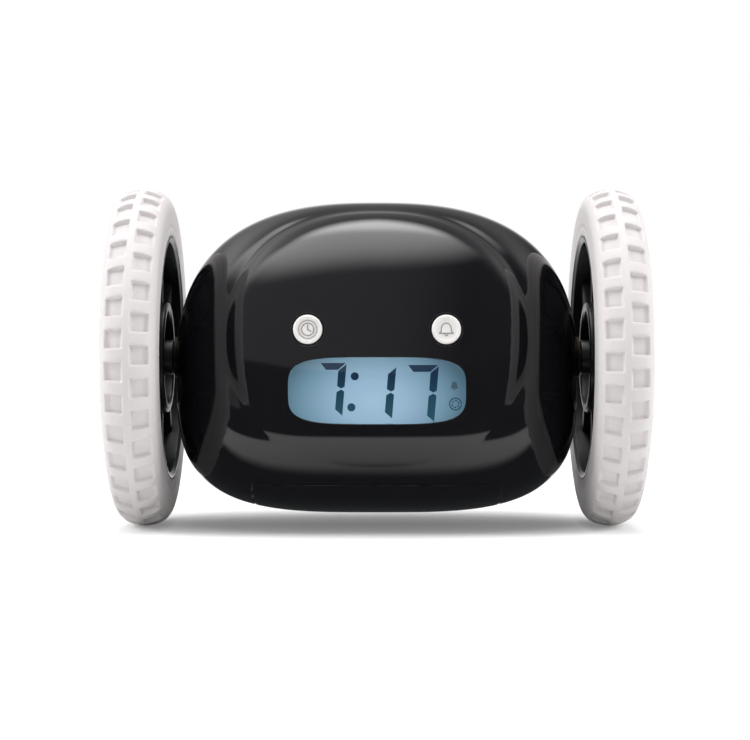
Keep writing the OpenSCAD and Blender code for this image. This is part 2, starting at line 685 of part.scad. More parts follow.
// The snooze bar's top follows the body: a patch of its surface, moved out by button_out.
snooze_steps = 10;
function snooze_points(top) = [for (i = [0:snooze_steps], j = [0:snooze_steps]) let (
    x = (snooze_l + 2) * (i / snooze_steps - 0.5),
    y = (snooze_w + 2) * (j / snooze_steps - 0.5) + snooze_back
) [x, y, top ? skin_z(x, y, 1, -button_out) : snooze_plate]];
module snooze_solid() polyhedron(points = concat(snooze_points(false), snooze_points(true)),
    faces = grid_faces(snooze_steps, snooze_steps));
module snooze_button() color(shell_black) at_axle() {
    intersection() {
        snooze_solid();
        linear_extrude(60) snooze_outline(0);
    }
    translate([0, 0, snooze_plate - 1.2]) linear_extrude(1.2) snooze_outline(slide_gap + 0.9);
    translate([0, snooze_back, 0]) tube_z(stem_r, snooze_board_z + tact_top, snooze_plate - 1.2);
}
module snooze_plunger() color("#b0b0b2") at_axle() translate([0, snooze_back, snooze_board_z]) tact_plunger();

// ================================================================ Loudspeaker
module speaker_basket() color(steel) at_axle() translate([0, speaker_front - seam / 2, -speaker_drop])
    rotate([90, 0, 0]) rotate_extrude($fn = 96) polygon([
        [speaker_r, 0], [speaker_r, 1.2], [speaker_r - 2, 1.2], [10, 4.6], [9, 4.6], [9, speaker_h],
        [0, speaker_h], [0, speaker_h - 1.5], [6.4, speaker_h - 1.5], [6.4, 3.8], [9.4, 3.8],
        [speaker_r - 3, 0.4], [speaker_r - 3, 0]
    ]);
module speaker_cone() color("#3a3532") at_axle() translate([0, speaker_front - seam / 2, -speaker_drop])
    rotate([90, 0, 0]) rotate_extrude($fn = 96) polygon([
        [speaker_r - 3.1, 0], [speaker_r - 3.4, 0.35], [9.5, 3.5], [6.3, 3.7], [6.3, speaker_h - 1.7], [5.7, speaker_h - 1.7],
        [5.7, 2.6], [0, 2], [0, 1.4], [6, 2.3], [9.5, 2.9], [speaker_r - 4.2, -0.2]
    ]);

// ================================================================ Battery
module tray_outline(grow) translate([-tray_x - grow, -tray_y - grow])
    square([2 * (tray_x + grow), 2 * (tray_y + grow)]);
module battery_tray() color(grey_plastic) at_axle() {
    difference() {
        translate([0, 0, -tray_low]) linear_extrude(tray_low - tray_top) tray_outline(0);
        translate([0, 0, -tray_low - 1]) linear_extrude(tray_low - tray_top - tray_t + 1) tray_outline(-tray_t);
    }
    // Wings clamped between the lower bosses of the two shells
    for (s = [-1, 1]) difference() {
        box([min(s * (tray_x - 0.5), s * (low_boss[0] + boss_r)), -tray_wing_t / 2, low_boss[1] - boss_r],
            [max(s * (tray_x - 0.5), s * (low_boss[0] + boss_r)), tray_wing_t / 2, low_boss[1] + boss_r]);
        translate([s * low_boss[0], 0, low_boss[1]]) tube_y(screw_r + 0.2, -5, 5);
    }
    // Boss for the door's screw
    translate([door_screw_x, 0, 0]) difference() {
        tube_z(door_boss_r, -door_drop - 2, -tray_top - tray_t);
        tube_z(pilot_r, -door_drop - 3, -tray_top - tray_t - 2);
    }
}
module cell(y, s) translate([0, y, -cell_drop]) side(s) {
    tube_x(cell_d / 2, -cell_l / 2, cell_l / 2 - 1);
    tube_x(1.9, cell_l / 2 - 1, cell_l / 2);
}
module battery_cells() color("#2a6f55") at_axle()
    for (i = [0:3]) cell(cell_ys[i], i % 2 == 0 ? 1 : -1);
// Flat tips and coned springs at the ends of the cells
module battery_contacts() color(steel) at_axle() for (i = [0:3]) {
    s = i % 2 == 0 ? 1 : -1;
    wall_x = tray_x - tray_t - seam;
    translate([0, cell_ys[i], -cell_drop]) side(s) {
        box([wall_x - 0.4, -4, -4], [wall_x, 4, 4]);
        tube_x(2.2, cell_l / 2 + seam, wall_x - 0.4);
        box([-wall_x, -4, -4], [-wall_x + 0.4, 4, 4]);
        translate([-wall_x + 0.4, 0, 0]) rotate([0, 90, 0])
            cylinder(r1 = 3.6, r2 = 2, h = wall_x - 0.4 - cell_l / 2 - seam);
    }
}
// The door is a patch of the body's underside that reaches up to door_drop in front and behind.
door_cols = 14;
door_rows = 16;
function door_reach(x, inset) = let (n = base_power, q = pow(abs(x) / (half_w - inset), n)
    + pow((door_drop - waist_drop) / (base_h - inset), n))
    (half_depth - inset) * pow(1 - pow(q, depth_power / n), 1 / depth_power);
function door_points(inset) = [for (i = [0:door_cols], j = [0:door_rows]) let (
    x = door_w * (i / door_cols - 0.5),
    y = door_reach(x, inset) * sin(90 * (2 * j / door_rows - 1))
) [x, y, abs(2 * j / door_rows - 1) == 1 ? -door_drop : skin_z(x, y, -1, inset)]];
module door_solid() polyhedron(points = concat(door_points(0), door_points(wall)),
    faces = grid_faces(door_cols, door_rows));
door_screw_seat = skin_z(door_screw_x, 0, -1) + head_h + 0.3;
rib_half = 1;
// The ribs stand between two cells: so far below the cells' middles their tops end
rib_gap = sqrt(pow(cell_d / 2, 2) - pow(cell_pitch / 2 - rib_half, 2)) + slide_gap;
module battery_door() color(shell_black) at_axle() difference() {
    union() {
        door_solid();
        // Seat of the captive screw
        translate([door_screw_x, 0, 0]) tube_z(door_boss_r, skin_z(door_screw_x, 0, -1) + wall / 2, -door_drop - 2 - seam);
        // Ribs that hold the cells down
        for (x = [-12, 12], y = [-cell_pitch, 0, cell_pitch]) let (low = skin_z(x, y, -1) + wall / 2)
            box([x - 0.6, y - rib_half, low], [x + 0.6, y + rib_half, -cell_drop - rib_gap]);
    }
    translate([door_screw_x, 0, 0]) {
        tube_z(screw_r + 0.1, -60, 0);
        tube_z(head_r + 0.2, -60, door_screw_seat);
    }
}
module door_screw() color(steel) at_axle() translate([door_screw_x, 0, door_screw_seat - seam / 2])
    rotate([180, 0, 0]) screw(8.5, pilot_screw);

// ================================================================ Gears
// Teeth with involute flanks. ease thins each tooth, so that the meshed pair keeps a little play.
addendum = 0.8;
dedendum = 1.1;
ease = 0.035;
function involute_deg(r, base) = let (t = sqrt(max(pow(r / base, 2) - 1, 0))) t * 180 / PI - atan(t);
module gear_2d(z, turn) {
    pitch_r = gear_m * z / 2;
    base = pitch_r * cos(20);
    root = pitch_r - dedendum * gear_m;
    tip = pitch_r + addendum * gear_m;
    half = 90 / z - ease / pitch_r * 180 / PI + involute_deg(pitch_r, base);
    rs = concat(root < base ? [root] : [], [for (k = [0:3]) let (lo = max(root, base)) lo + (tip - lo) * k / 3]);
    flank = [for (r = rs) [r, half - involute_deg(max(r, base), base)]];
    polygon([for (i = [0:z - 1]) each concat(
        [for (p = flank) p[0] * [cos(turn + i * 360 / z - p[1]), sin(turn + i * 360 / z - p[1])]],
        [for (k = [len(flank) - 1:-1:0]) let (p = flank[k])
            p[0] * [cos(turn + i * 360 / z + p[1]), sin(turn + i * 360 / z + p[1])]]
    )]);
}
module output_gear(s) color(gear_white) at_axle() side(s) difference() {
    union() {
        slab_x(output_x[0], output_x[1]) gear_2d(output_z, cluster_deg);
        tube_x(axle_r + 1.6, cluster_x[1] + 0.4, outer_plate - slide_gap);
    }
    tube_x(axle_r + 0.01, 30, 60);
    for (a = [0:60:300]) rotate([a + 30, 0, 0]) translate([0, gear_m * output_z * 0.32, 0]) tube_x(1.5, 40, 50);
}
module cluster_gear(s) color(gear_white) at_axle() side(s) translate([0, cluster_at[0], cluster_at[1]])
    difference() {
        union() {
            slab_x(cluster_x[0], cluster_x[1]) gear_2d(cluster_z, motor_deg);
            slab_x(step_x[0], step_x[1]) gear_2d(step_z, cluster_deg + 180 + 180 / step_z);
            tube_x(2, inner_plate + plate_t + slide_gap, outer_plate - slide_gap);
        }
        tube_x(pin_r + run_fit, 30, 60);
    }
module pinion(s) color(brass) at_axle() side(s) translate([0, motor_at[0], motor_at[1]]) {
    slab_x(pinion_x[0], pinion_x[1]) gear_2d(pinion_z, motor_deg + 180 + 180 / pinion_z);
    tube_x(shaft_r, inner_plate - 5, pinion_x[1] + 0.2);
}

// ================================================================ Motors and their frames
module motor(s) color(steel) at_axle() side(s) translate([0, motor_at[0], motor_at[1]]) difference() {
    union() {
        intersection() {
            tube_x(motor_d / 2, inner_plate - motor_l, inner_plate - seam / 2);
            box([0, -motor_d, -motor_flat / 2], [60, motor_d, motor_flat / 2]);
        }
        tube_x(3, inner_plate - 1, inner_plate + 1.2);
        tube_x(4, inner_plate - motor_l - 0.8, inner_plate - motor_l + 1);
        for (t = [-1, 1]) box([inner_plate - motor_l - 1.4, t * 6 - 1, -0.2], [inner_plate - motor_l + 1, t * 6 + 1, 0.2]);
    }
    tube_x(shaft_r + run_fit, inner_plate - 5.3, 60);
    for (t = [-1, 1]) rotate([t * 90, 0, 0]) translate([0, 0, 6]) tube_x(pilot_r, inner_plate - 3, 60);
}
module inner_outline() hull() {
    circle(r = 6.5);
    translate(motor_at) circle(r = motor_d / 2 + 1);
    translate(cluster_at) circle(r = 5);
    for (p = post_places) translate(p) circle(r = 2.4);
    for (z = ear_zs) translate([ear_y[1] - 3, z - 4]) square([3, 8]);
}
module outer_outline() hull() {
    circle(r = 6.5);
    translate(cluster_at) circle(r = pin_r + 1.5);
    for (p = post_places) translate(p) circle(r = 2.4);
}
module gear_frame(s) color(grey_plastic) at_axle() side(s) difference() {
    union() {
        slab_x(inner_plate, inner_plate + plate_t) inner_outline();
        slab_x(outer_plate, outer_plate + plate_t) outer_outline();
        for (p = post_places) translate([0, p[0], p[1]]) tube_x(1.7, inner_plate + 0.5, outer_plate + 0.5);
        tube_x(3.4, inner_plate - 1.2, inner_plate + plate_t + 0.6);
        for (z = ear_zs) box([ear_x - 3.4, ear_y[0], z - 3.4], [inner_plate + 0.5, ear_y[1], z + 3.4]);
    }
    tube_x(axle_r + run_fit, 30, outer_plate + 3);
    translate([0, motor_at[0], motor_at[1]]) tube_x(3.1, 30, 40);
    translate([0, cluster_at[0], cluster_at[1]]) tube_x(pin_r + 0.01, 30, 50);
    for (t = [-1, 1]) translate([0, motor_at[0], motor_at[1]]) rotate([t * 90, 0, 0])
        translate([0, 0, 6]) tube_x(screw_r, inner_plate - 2, inner_plate + plate_t + 1);
    for (z = ear_zs) translate([ear_x, 0, z]) tube_y(screw_r + 0.1, ear_y[0] - 1, ear_y[1] + 1);
}
module cluster_pins() color(steel) at_axle() for (s = [-1, 1]) side(s)
    translate([0, cluster_at[0], cluster_at[1]]) tube_x(pin_r, inner_plate, outer_plate + plate_t);
module axle_bushes() color(brass) at_axle() for (s = [-1, 1]) side(s) difference() {
    union() {
        tube_x(bush_r, bush_in, half_w + 0.3);
        tube_x(bush_flange, half_w + 0.05, bush_out);
    }
    tube_x(axle_r + run_fit, 40, 60);
}
module frame_screws() color(steel) at_axle() for (s = [-1, 1]) side(s) {
    for (z = ear_zs) translate([ear_x, ear_y[0] - seam / 2, z]) rotate([90, 0, 0]) screw(5.2, pilot_screw);
    for (t = [-1, 1]) translate([inner_plate + plate_t + seam / 2, motor_at[0], motor_at[1]])
        rotate([t * 90, 0, 0]) translate([0, 0, 6]) rotate([0, 90, 0]) screw(3.8, pilot_screw, 1.2);
}
module shell_screws() color(steel) at_axle() for (p = boss_places)
    translate([p[0], screw_seat + seam / 2, p[1]]) rotate([-90, 0, 0]) screw(15.5, pilot_screw);

// ================================================================ Wheels
module turned(points) rotate([0, 90, 0]) rotate_extrude($fn = 128) polygon(points);
// A bar between two points, seen along the axle.
module bar(a, b, w) let (d = (b - a) / norm(b - a), n = [-d[1], d[0]] * w / 2)
    polygon([a + n, a - n, b - n, b + n]);
module spoke_2d() {
    fork = (hub_ring_d / 2 + rim_r) / 2 - 1;
    reach = rim_r - barrel_t / 2;
    bar([hub_ring_d / 2 - 1, 0], [fork, 0], spoke_t);
    for (t = [-1, 1]) bar([fork - spoke_t / 3, 0], reach * [cos(t * 11), sin(t * 11)], spoke_t);
}
module rim(s) color(shell_black) at_axle() side(s) {
    difference() {
        turned([
            [0, hub_in], [hub_r, hub_in], [hub_r, web_in], [hub_ring_d / 2 - 2, web_in],
            [hub_ring_d / 2 - 2, ring_in + 0.5], [hub_ring_d / 2 - 1.5, ring_in],
            [hub_ring_d / 2 - 0.5, ring_in], [hub_ring_d / 2, ring_in + 0.5], [hub_ring_d / 2, web_in],
            [rim_r - barrel_t, web_in + 1], [rim_r - barrel_t, rim_in + 2.2], [rim_r - lip_h, rim_in + 1.4],
            [rim_r - lip_h, rim_in + 0.6], [rim_r - lip_h + 0.6, rim_in], [rim_r - 0.3, rim_in],
            [rim_r, rim_in + 0.3], [rim_r, track_w / 2 - 1.5], [rim_r + 1, track_w / 2 - 1.2],
            [rim_r + 1, track_w / 2 + 1.2], [rim_r, track_w / 2 + 1.5], [rim_r, rim_out - 0.6],
            [rim_r - 0.6, rim_out], [rim_r - 1, rim_out], [rim_r - barrel_t, rim_out - 0.6],
            [rim_r - barrel_t, web_in + web_t + 1], [hub_r, web_in + web_t], [hub_r, hub_out], [0, hub_out]
        ]);
        tube_x(axle_r + 0.01, hub_in - 1, hub_out + 1);
    }
    slab_x(web_in - 2.4, web_in + 0.8) for (i = [0:spoke_n - 1]) rotate(i * 360 / spoke_n + 30) spoke_2d();
}
pocket_floor = wheel_d / 2 - pocket_depth;
pocket_deg = 360 / pocket_n - lug_len / (wheel_d / 2) * 180 / PI;
module pocket(x, turn) rotate([90, 0, 90]) rotate(turn - pocket_deg / 2)
    rotate_extrude(angle = pocket_deg, $fn = 64) translate([pocket_floor, x]) square([3, pocket_w]);
// The middle of a shoulder's curve, which touches the crown's curve from inside
shoulder_off = tyre_w / 2 - shoulder_r;
shoulder_at = wheel_d / 2 - crown_r + sqrt(pow(crown_r - shoulder_r, 2) - pow(shoulder_off, 2));
module tyre(s) color(soft_white) at_axle() side(s) difference() {
    rotate([0, 90, 0]) rotate_extrude($fn = 128) difference() {
        translate([0, track_w / 2]) intersection() {
            translate([wheel_d / 2 - crown_r, 0]) circle(r = crown_r, $fn = 96);
            union() {
                translate([rim_r - 5, -tyre_w / 2]) square([shoulder_at - rim_r + 5, tyre_w]);
                translate([rim_r - 5, -shoulder_off]) square([wheel_d / 2, 2 * shoulder_off]);
                for (t = [-1, 1]) translate([shoulder_at, t * shoulder_off]) circle(r = shoulder_r, $fn = 96);
            }
        }
        translate([0, rim_in - 1]) square([rim_r + seam / 2, tyre_w + 2]);
        translate([0, track_w / 2 - 1.6]) square([rim_r + 1 + seam / 2, 3.2]);
    }
    for (i = [0:pocket_n - 1]) {
        pocket(track_w / 2 - rib_w / 2 - pocket_w, i * 360 / pocket_n);
        pocket(track_w / 2 + rib_w / 2, (i + 0.5) * 360 / pocket_n);
    }
}
cap_r = rim_r - barrel_t - seam;
cap_rise = 2.6;
cap_dome = (pow(cap_r, 2) + pow(cap_rise, 2)) / (2 * cap_rise);
cap_edge = rim_out - 1.2;
module hub_cap(s) color(grey_plastic) at_axle() side(s) rotate([0, 90, 0]) rotate_extrude($fn = 96) {
    // Dome
    intersection() {
        translate([0, cap_edge + cap_rise - 2.2 - cap_dome]) difference() {
            circle(r = cap_dome, $fn = 128);
            circle(r = cap_dome - 1.4, $fn = 128);
        }
        translate([0, cap_edge - 2.4 - 1.4]) square([cap_r, 20]);
    }
    // Edge and the skirt that stands on the web
    translate([cap_r - 2.4, web_in + web_t + 1.2]) square([1.4, cap_edge - 2.4 - web_in - web_t - 1]);
    translate([hub_r + 1.5, web_in + web_t + 0.5])
        square([1.2, cap_edge + cap_rise - 2.9 - web_in - web_t - 0.5]);
}
module axle(s) color(steel) at_axle() side(s) difference() {
    tube_x(axle_r, inner_plate - 1.6, hub_out - 0.2);
    tube_x(pilot_r, hub_out - 6, hub_out + 1);
}
module wheel_screw(s) color(steel) at_axle() side(s) translate([hub_out + seam / 2, 0, 0])
    rotate([0, 90, 0]) screw(5, pilot_screw, 2.6);

// ================================================================ Leads
// A round lead swept along hand-chosen points.
lead_sides = 8;
function unit(v) = v / max(norm(v), 1e-9);
function lead_ring(points, i) = let (
    n = len(points),
    a = unit(points[min(i + 1, n - 1)] - points[max(i - 1, 0)]),
    side_dir = unit(cross(a, [0.5, 0.1, 0.86])),
    other = cross(a, side_dir)
) [for (k = [0:lead_sides - 1]) points[i]
    + lead_d / 2 * (side_dir * cos(k * 360 / lead_sides) + other * sin(k * 360 / lead_sides))];
module lead(points) {
    n = len(points);
    m = lead_sides;
    polyhedron(
        points = [for (i = [0:n - 1]) each lead_ring(points, i)],
        faces = concat(
            [for (i = [0:n - 2], k = [0:m - 1]) let (a = i * m + k, b = i * m + (k + 1) % m)
                each [[a, a + m, b], [b, a + m, b + m]]],
            [[for (k = [0:m - 1]) k]], [[for (k = [m - 1:-1:0]) (n - 1) * m + k]]
        )
    );
}
module pair(points) for (s = [-1, 1]) lead([for (p = points) [s * p[0], p[1], p[2]]]);
terminal_x = inner_plate - motor_l - 1.4;
module motor_leads() color("#a03028") at_axle() {
    y = motor_at[0];
    z = motor_at[1];
    pair([[terminal_x, y - 6, z], [6, y - 6.5, z], [5, 0, 10], [5, -6, 11], [9, -12, 11], [19, -15, 8],
        [23, -17, 6], [23, board_back + 5, 6]]);
    pair([[terminal_x, y + 6, z], [5.5, y + 5, z + 1], [4, 10, 12], [4, 2, 14], [4.5, -6, 14], [10, -12.5, 13.5],
        [21, -15, 9.5], [25, -17, 6], [25, board_back + 5, 6]]);
}
module battery_leads() color("#a03028") at_axle()
    pair([[3, -12, -tray_top], [3, -12, -19.5], [3, -13.5, -18.3], [3, -16, -18], [3, board_back + 5, -18]]);
module speaker_leads() color("#a03028") at_axle()
    pair([[5, speaker_front - speaker_h - slide_gap, -9], [5, 21, -9.5], [5, 12, -13], [4.5, 0, -15], [4.5, -14, -14.5],
        [4.5, -20, -13.3], [4.5, board_back, -13]]);
module board_leads() color("#c8c8ca") at_axle() {
    over = motor_at[1] + motor_flat / 2;
    under = snooze_board_z - board_t;
    mid = (over + under) / 2;
    pair([[8, rear_board_y - board_t, set_up + rear_board_h / 2 - 2], [8, rear_board_y - 5, over + 2.8],
        [7.5, snooze_back - 2, over + 3], [7, -6, over + 2.6], [7, board_back + 8, over + 0.5],
        [7, board_back, board_high - 3.5]]);
    pair([[4, snooze_back - 3, under], [4, snooze_back - 3.5, under - 2], [4, snooze_back - 8, mid - 0.9],
        [4, -8, mid - 2.9], [4, board_back + 7, board_high - 5.5], [4, board_back, board_high - 6.5]]);
}
module motor_left() motor(-1);
module motor_right() motor(1);
module gear_frame_left() gear_frame(-1);
module gear_frame_right() gear_frame(1);
module tyre_left() tyre(-1);
module tyre_right() tyre(1);
module rim_left() rim(-1);
module rim_right() rim(1);
module hub_cap_left() hub_cap(-1);
module hub_cap_right() hub_cap(1);
module axle_left() axle(-1);
module axle_right() axle(1);
module output_gear_left() output_gear(-1);
module output_gear_right() output_gear(1);
module wheel_screw_left() wheel_screw(-1);
module wheel_screw_right() wheel_screw(1);
module cluster_gear_left() cluster_gear(-1);
module cluster_gear_right() cluster_gear(1);
module pinion_left() pinion(-1);
module pinion_right() pinion(1);

front_shell();
rear_shell();
lcd_lens();
lcd_frame();
lcd_glass();
light_guide();
zebra_strips();
main_board();
board_parts();
tact_switches();
rear_board();
snooze_board();
speaker_basket();
speaker_cone();
battery_tray();
battery_cells();
battery_contacts();
motor_left();
motor_right();
gear_frame_left();
gear_frame_right();
axle_bushes();
cluster_pins();
shell_screws();
board_screws();
frame_screws();
motor_leads();
battery_leads();
speaker_leads();
board_leads();
battery_door();
door_screw();
time_button();
time_plunger();
alarm_button();
alarm_plunger();
snooze_button();
snooze_plunger();
plus_button();
plus_plunger();
minus_button();
minus_plunger();
tyre_left();
rim_left();
hub_cap_left();
axle_left();
output_gear_left();
wheel_screw_left();
tyre_right();
rim_right();
hub_cap_right();
axle_right();
output_gear_right();
wheel_screw_right();
cluster_gear_left();
cluster_gear_right();
pinion_left();
pinion_right();
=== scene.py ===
"""The dressed model of a desk alarm clock that drives away on two big treaded wheels.

Lengths in the sections are millimetres from the middle of the wheels' axle, as on the drawing of the part:
X to the right of someone who faces the clock, Y away from them, Z up. plant() turns them into metres.
"""

import math

import bmesh
import bpy
import numpy as np
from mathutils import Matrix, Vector
from mathutils.bvhtree import BVHTree


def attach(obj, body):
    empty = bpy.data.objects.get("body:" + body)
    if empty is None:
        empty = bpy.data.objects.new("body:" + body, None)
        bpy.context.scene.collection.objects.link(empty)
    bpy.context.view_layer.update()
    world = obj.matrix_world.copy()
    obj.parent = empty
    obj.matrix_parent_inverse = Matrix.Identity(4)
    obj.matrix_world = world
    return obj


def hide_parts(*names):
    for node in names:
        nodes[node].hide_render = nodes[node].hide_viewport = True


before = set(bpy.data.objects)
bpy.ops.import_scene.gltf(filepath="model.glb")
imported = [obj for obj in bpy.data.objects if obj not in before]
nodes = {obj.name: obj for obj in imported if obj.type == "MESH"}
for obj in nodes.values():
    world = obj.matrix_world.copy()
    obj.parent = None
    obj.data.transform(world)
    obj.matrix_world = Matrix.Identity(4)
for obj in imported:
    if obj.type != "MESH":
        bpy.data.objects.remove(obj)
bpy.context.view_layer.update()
scene = bpy.context.scene
AXLE_HEIGHT = 44.5


# ------------------------ Studio
# A white table under a big soft box that hangs overhead, with a small one at each side. The room in
# front is dim, and the table ends a little in front of the clock; only the clock's gloss shows both.
class Wire:
    """An output socket of a material. Sums on values are written as Python sums."""

    def __init__(self, tree, socket):
        self.tree, self.socket = tree, socket

    def node(self, kind, settings, sockets, out=0):
        """Adds any node: its settings first, then the values or links of its sockets."""
        made = self.tree.nodes.new(kind)
        for name, value in settings.items():
            if name == "stops":
                ramp = made.color_ramp.elements
                for i, (at, colour) in enumerate(value):
                    stop = ramp[i] if i < 2 else ramp.new(at)
                    stop.position, stop.color = at, colour
            else:
                setattr(made, name, value)
        for key, value in sockets.items():
            if isinstance(value, Wire):
                self.tree.links.new(value.socket, made.inputs[key])
            else:
                made.inputs[key].default_value = value
        return Wire(self.tree, made.outputs[out])

    def sum(self, operation, a, b=0.0):
        return self.node("ShaderNodeMath", {"operation": operation}, {0: a, 1: b})

    def __add__(self, other):
        return self.sum("ADD", self, other)

    def __sub__(self, other):
        return self.sum("SUBTRACT", self, other)

    def __rsub__(self, other):
        return self.sum("SUBTRACT", other, self)

    def __mul__(self, other):
        return self.sum("MULTIPLY", self, other)

    def __pow__(self, other):
        return self.sum("POWER", self, other)

    def __abs__(self):
        return self.sum("ABSOLUTE", self)

    __radd__, __rmul__ = __add__, __mul__

    def most(self, other):
        return self.sum("MAXIMUM", self, other)

    def sine(self):
        return self.sum("SINE", self)

    def step(self, low, high):
        """0 below low, 1 above high, and a smooth rise between them."""
        return self.node("ShaderNodeMapRange", {"interpolation_type": "SMOOTHSTEP"},
                         {"Value": self, "From Min": low, "From Max": high})

    def blend(self, a, b):
        """Colour a where the value is 0, colour b where it is 1."""
        return self.node("ShaderNodeMix", {"data_type": "RGBA"}, {"Factor": self, 6: a, 7: b}, out=2)

    def noise(self, scale, detail=2.0, stretch=(1, 1, 1)):
        """Cloudy values about 0.5 from this place; scale is in waves per metre."""
        place = self.node("ShaderNodeVectorMath", {"operation": "MULTIPLY"}, {0: self, 1: stretch})
        return self.node("ShaderNodeTexNoise", {}, {"Vector": place, "Scale": scale, "Detail": detail})

    def bump(self, depth, strength=1.0):
        """A normal from a height between 0 and 1; depth is in metres."""
        return self.node("ShaderNodeBump", {}, {"Height": self, "Distance": depth, "Strength": strength})

    def axis(self, name):
        """One coordinate of a place."""
        return self.node("ShaderNodeSeparateXYZ", {}, {0: self}, out="XYZ".index(name))

    def glow(self, colour, strength):
        return self.node("ShaderNodeEmission", {}, {"Color": colour, "Strength": strength})

    def cover(self, a, b):
        """Surface a where the value is 0, surface b where it is 1."""
        return self.node("ShaderNodeMixShader", {}, {0: self, 1: a, 2: b})

    def rays(self):
        """Values that are 1 for a ray from the camera, one off a gloss, and one through clear plastic."""
        return [self.node("ShaderNodeLightPath", {}, {}, out=f"Is {kind} Ray")
                for kind in ("Camera", "Glossy", "Transmission")]


def finish(name, **fixed):
    """A new material: the material, a call that feeds its shader, and the place on the piece as a Wire."""
    material = bpy.data.materials.new(name)
    material.use_nodes = True
    tree = material.node_tree
    shader = tree.nodes["Principled BSDF"]
    place = Wire(tree, tree.nodes.new("ShaderNodeTexCoord").outputs["Object"])

    def feed(**sockets):
        for key, value in sockets.items():
            socket = shader.inputs[key.replace("_", " ")]
            if isinstance(value, Wire):
                tree.links.new(value.socket, socket)
            else:
                socket.default_value = value

    feed(**fixed)
    return material, feed, place


def rgb(r, g, b):
    return (r, g, b, 1.0)


PAPER_LIFT = 0.17
TABLE_EDGE_Y = -0.060
PAINTED_SHADOW_X, PAINTED_SHADOW_Y = (0.075, 0.100), (0.031, 0.040)
WHITE_FROM, WHITE_BY = 0.35, 1.0
paper, feed, place = finish("white_table", Roughness=0.9, Specular_IOR_Level=0.0)
grain = place.noise(900.0, 3.0)
feed(Base_Color=grain.blend(rgb(0.79, 0.79, 0.79), rgb(0.82, 0.82, 0.82)), Normal=grain.bump(0.00002))
seen, glint, through = place.rays()
shown = seen.most(glint).most(through)
tree = paper.node_tree
plain = Wire(tree, tree.nodes["Principled BSDF"].outputs[0])
lit = place.node("ShaderNodeAddShader", {}, {0: plain, 1: place.glow(rgb(1, 1, 1), shown * PAPER_LIFT)})
distance = place.node("ShaderNodeVectorMath", {"operation": "LENGTH"}, {0: place}, out=1)
lit = (distance.step(WHITE_FROM, WHITE_BY) * shown).cover(lit, place.glow(rgb(1, 1, 1), 1.0))
in_front = 1.0 - place.axis("Y").step(TABLE_EDGE_Y - 0.002, TABLE_EDGE_Y + 0.002)
# Under the clock the gloss and the lens see the table dim: a painted shadow, not one the lamps cast.
below = (1.0 - abs(place.axis("X")).step(*PAINTED_SHADOW_X)) * (1.0 - abs(place.axis("Y")).step(*PAINTED_SHADOW_Y))
gloss_dark_and_painted_shadow = glint.most(through) * in_front.most(below)
lit = gloss_dark_and_painted_shadow.cover(lit, place.glow(rgb(0.9, 0.95, 1.0), 0.05))
from_below = place.node("ShaderNodeNewGeometry", {}, {}, out="Backfacing")
lit = from_below.cover(lit, place.node("ShaderNodeBsdfTransparent", {}, {}))
tree.links.new(lit.socket, tree.nodes["Material Output"].inputs["Surface"])

table = bpy.data.meshes.new("white_table")
table.from_pydata([(x, y, 0.0) for y in (-4.0, 4.0) for x in (-4.0, 4.0)], [], [(0, 1, 3, 2)])
table.materials.append(paper)
floor = bpy.data.objects.new("white_table", table)
scene.collection.objects.link(floor)


def soft_box(name, size, power, at, aim_up):
    """A square lamp that points at the clock and shows in no gloss."""
    lamp = bpy.data.lights.new(name, "AREA")
    lamp.size, lamp.energy = size, power
    box = bpy.data.objects.new(name, lamp)
    box.location = at
    box.rotation_euler = (Vector((0.0, 0.0, aim_up)) - box.location).to_track_quat("-Z", "Y").to_euler()
    box.visible_glossy = False
    scene.collection.objects.link(box)


soft_box("overhead_box", 0.9, 5.5, (-0.08, -0.12, 1.0), 0.04)
for x in (-0.75, 0.75):
    soft_box("side_box", 0.4, 4.0, (x, -0.12, 0.55), 0.05)

# What the gloss mirrors of the room: the overhead box with its dark rear edge, a wall behind, and
# two pale wings at the sides. What lights the clock is plainer, and the camera sees white.
world = bpy.data.worlds.new("studio")
world.use_nodes = True
studio = world.node_tree
toward = Wire(studio, studio.nodes.new("ShaderNodeTexCoord").outputs["Generated"])
seen, glint, through = toward.rays()
x, y, z = [toward.axis(name) for name in "XYZ"]
BOX_AXIS = Vector((-0.19, 0.09, 1.0)).normalized()
upward = toward.node("ShaderNodeVectorMath", {"operation": "DOT_PRODUCT"}, {0: toward, 1: BOX_AXIS}, out=1)
box_share = upward.step(0.68, 0.985)
left = 1.0 - x.step(-0.15, 0.55)
behind = y.step(0.90, 0.99)
box_back = (y + abs(x)).step(0.40, 0.62) * y.step(-0.05, 0.2)
box_glow = 3.7 + 2.8 * y.step(0.08, 0.32)
wings = x * x * z.step(0.35, 0.75) * y.step(-0.2, 0.3)
mirrored = (0.07 + 0.30 * left) * (1.0 - behind) + behind + box_glow * box_share * (1.0 - box_back)
mirrored = mirrored + (1.8 + 2.0 * left) * wings
ambient = 0.38 + 0.7 * (x * x) + 0.5 * box_share
shown = seen.most(through * y.step(0.0, 0.1))
strength = shown + (1.0 - shown) * (glint * mirrored + (1.0 - glint) * ambient)
studio.nodes["Background"].inputs["Color"].default_value = rgb(1.0, 1.0, 1.0)
studio.links.new(strength.socket, studio.nodes["Background"].inputs["Strength"])
scene.world = world
scene.view_settings.view_transform = "Standard"

camera_data = bpy.data.cameras.new("camera")
camera_data.lens = 92.98
camera_data.sensor_width = 36.0
camera_data.sensor_fit = "HORIZONTAL"
camera_data.shift_x = -0.0027
camera_data.shift_y = -0.0169
camera_data.clip_end = 20.0
camera = bpy.data.objects.new("camera", camera_data)
camera.location = (0.0, -0.515, 0.0445)
camera.rotation_euler = (math.radians(90), 0.0, 0.0)
scene.collection.objects.link(camera)
scene.camera = camera


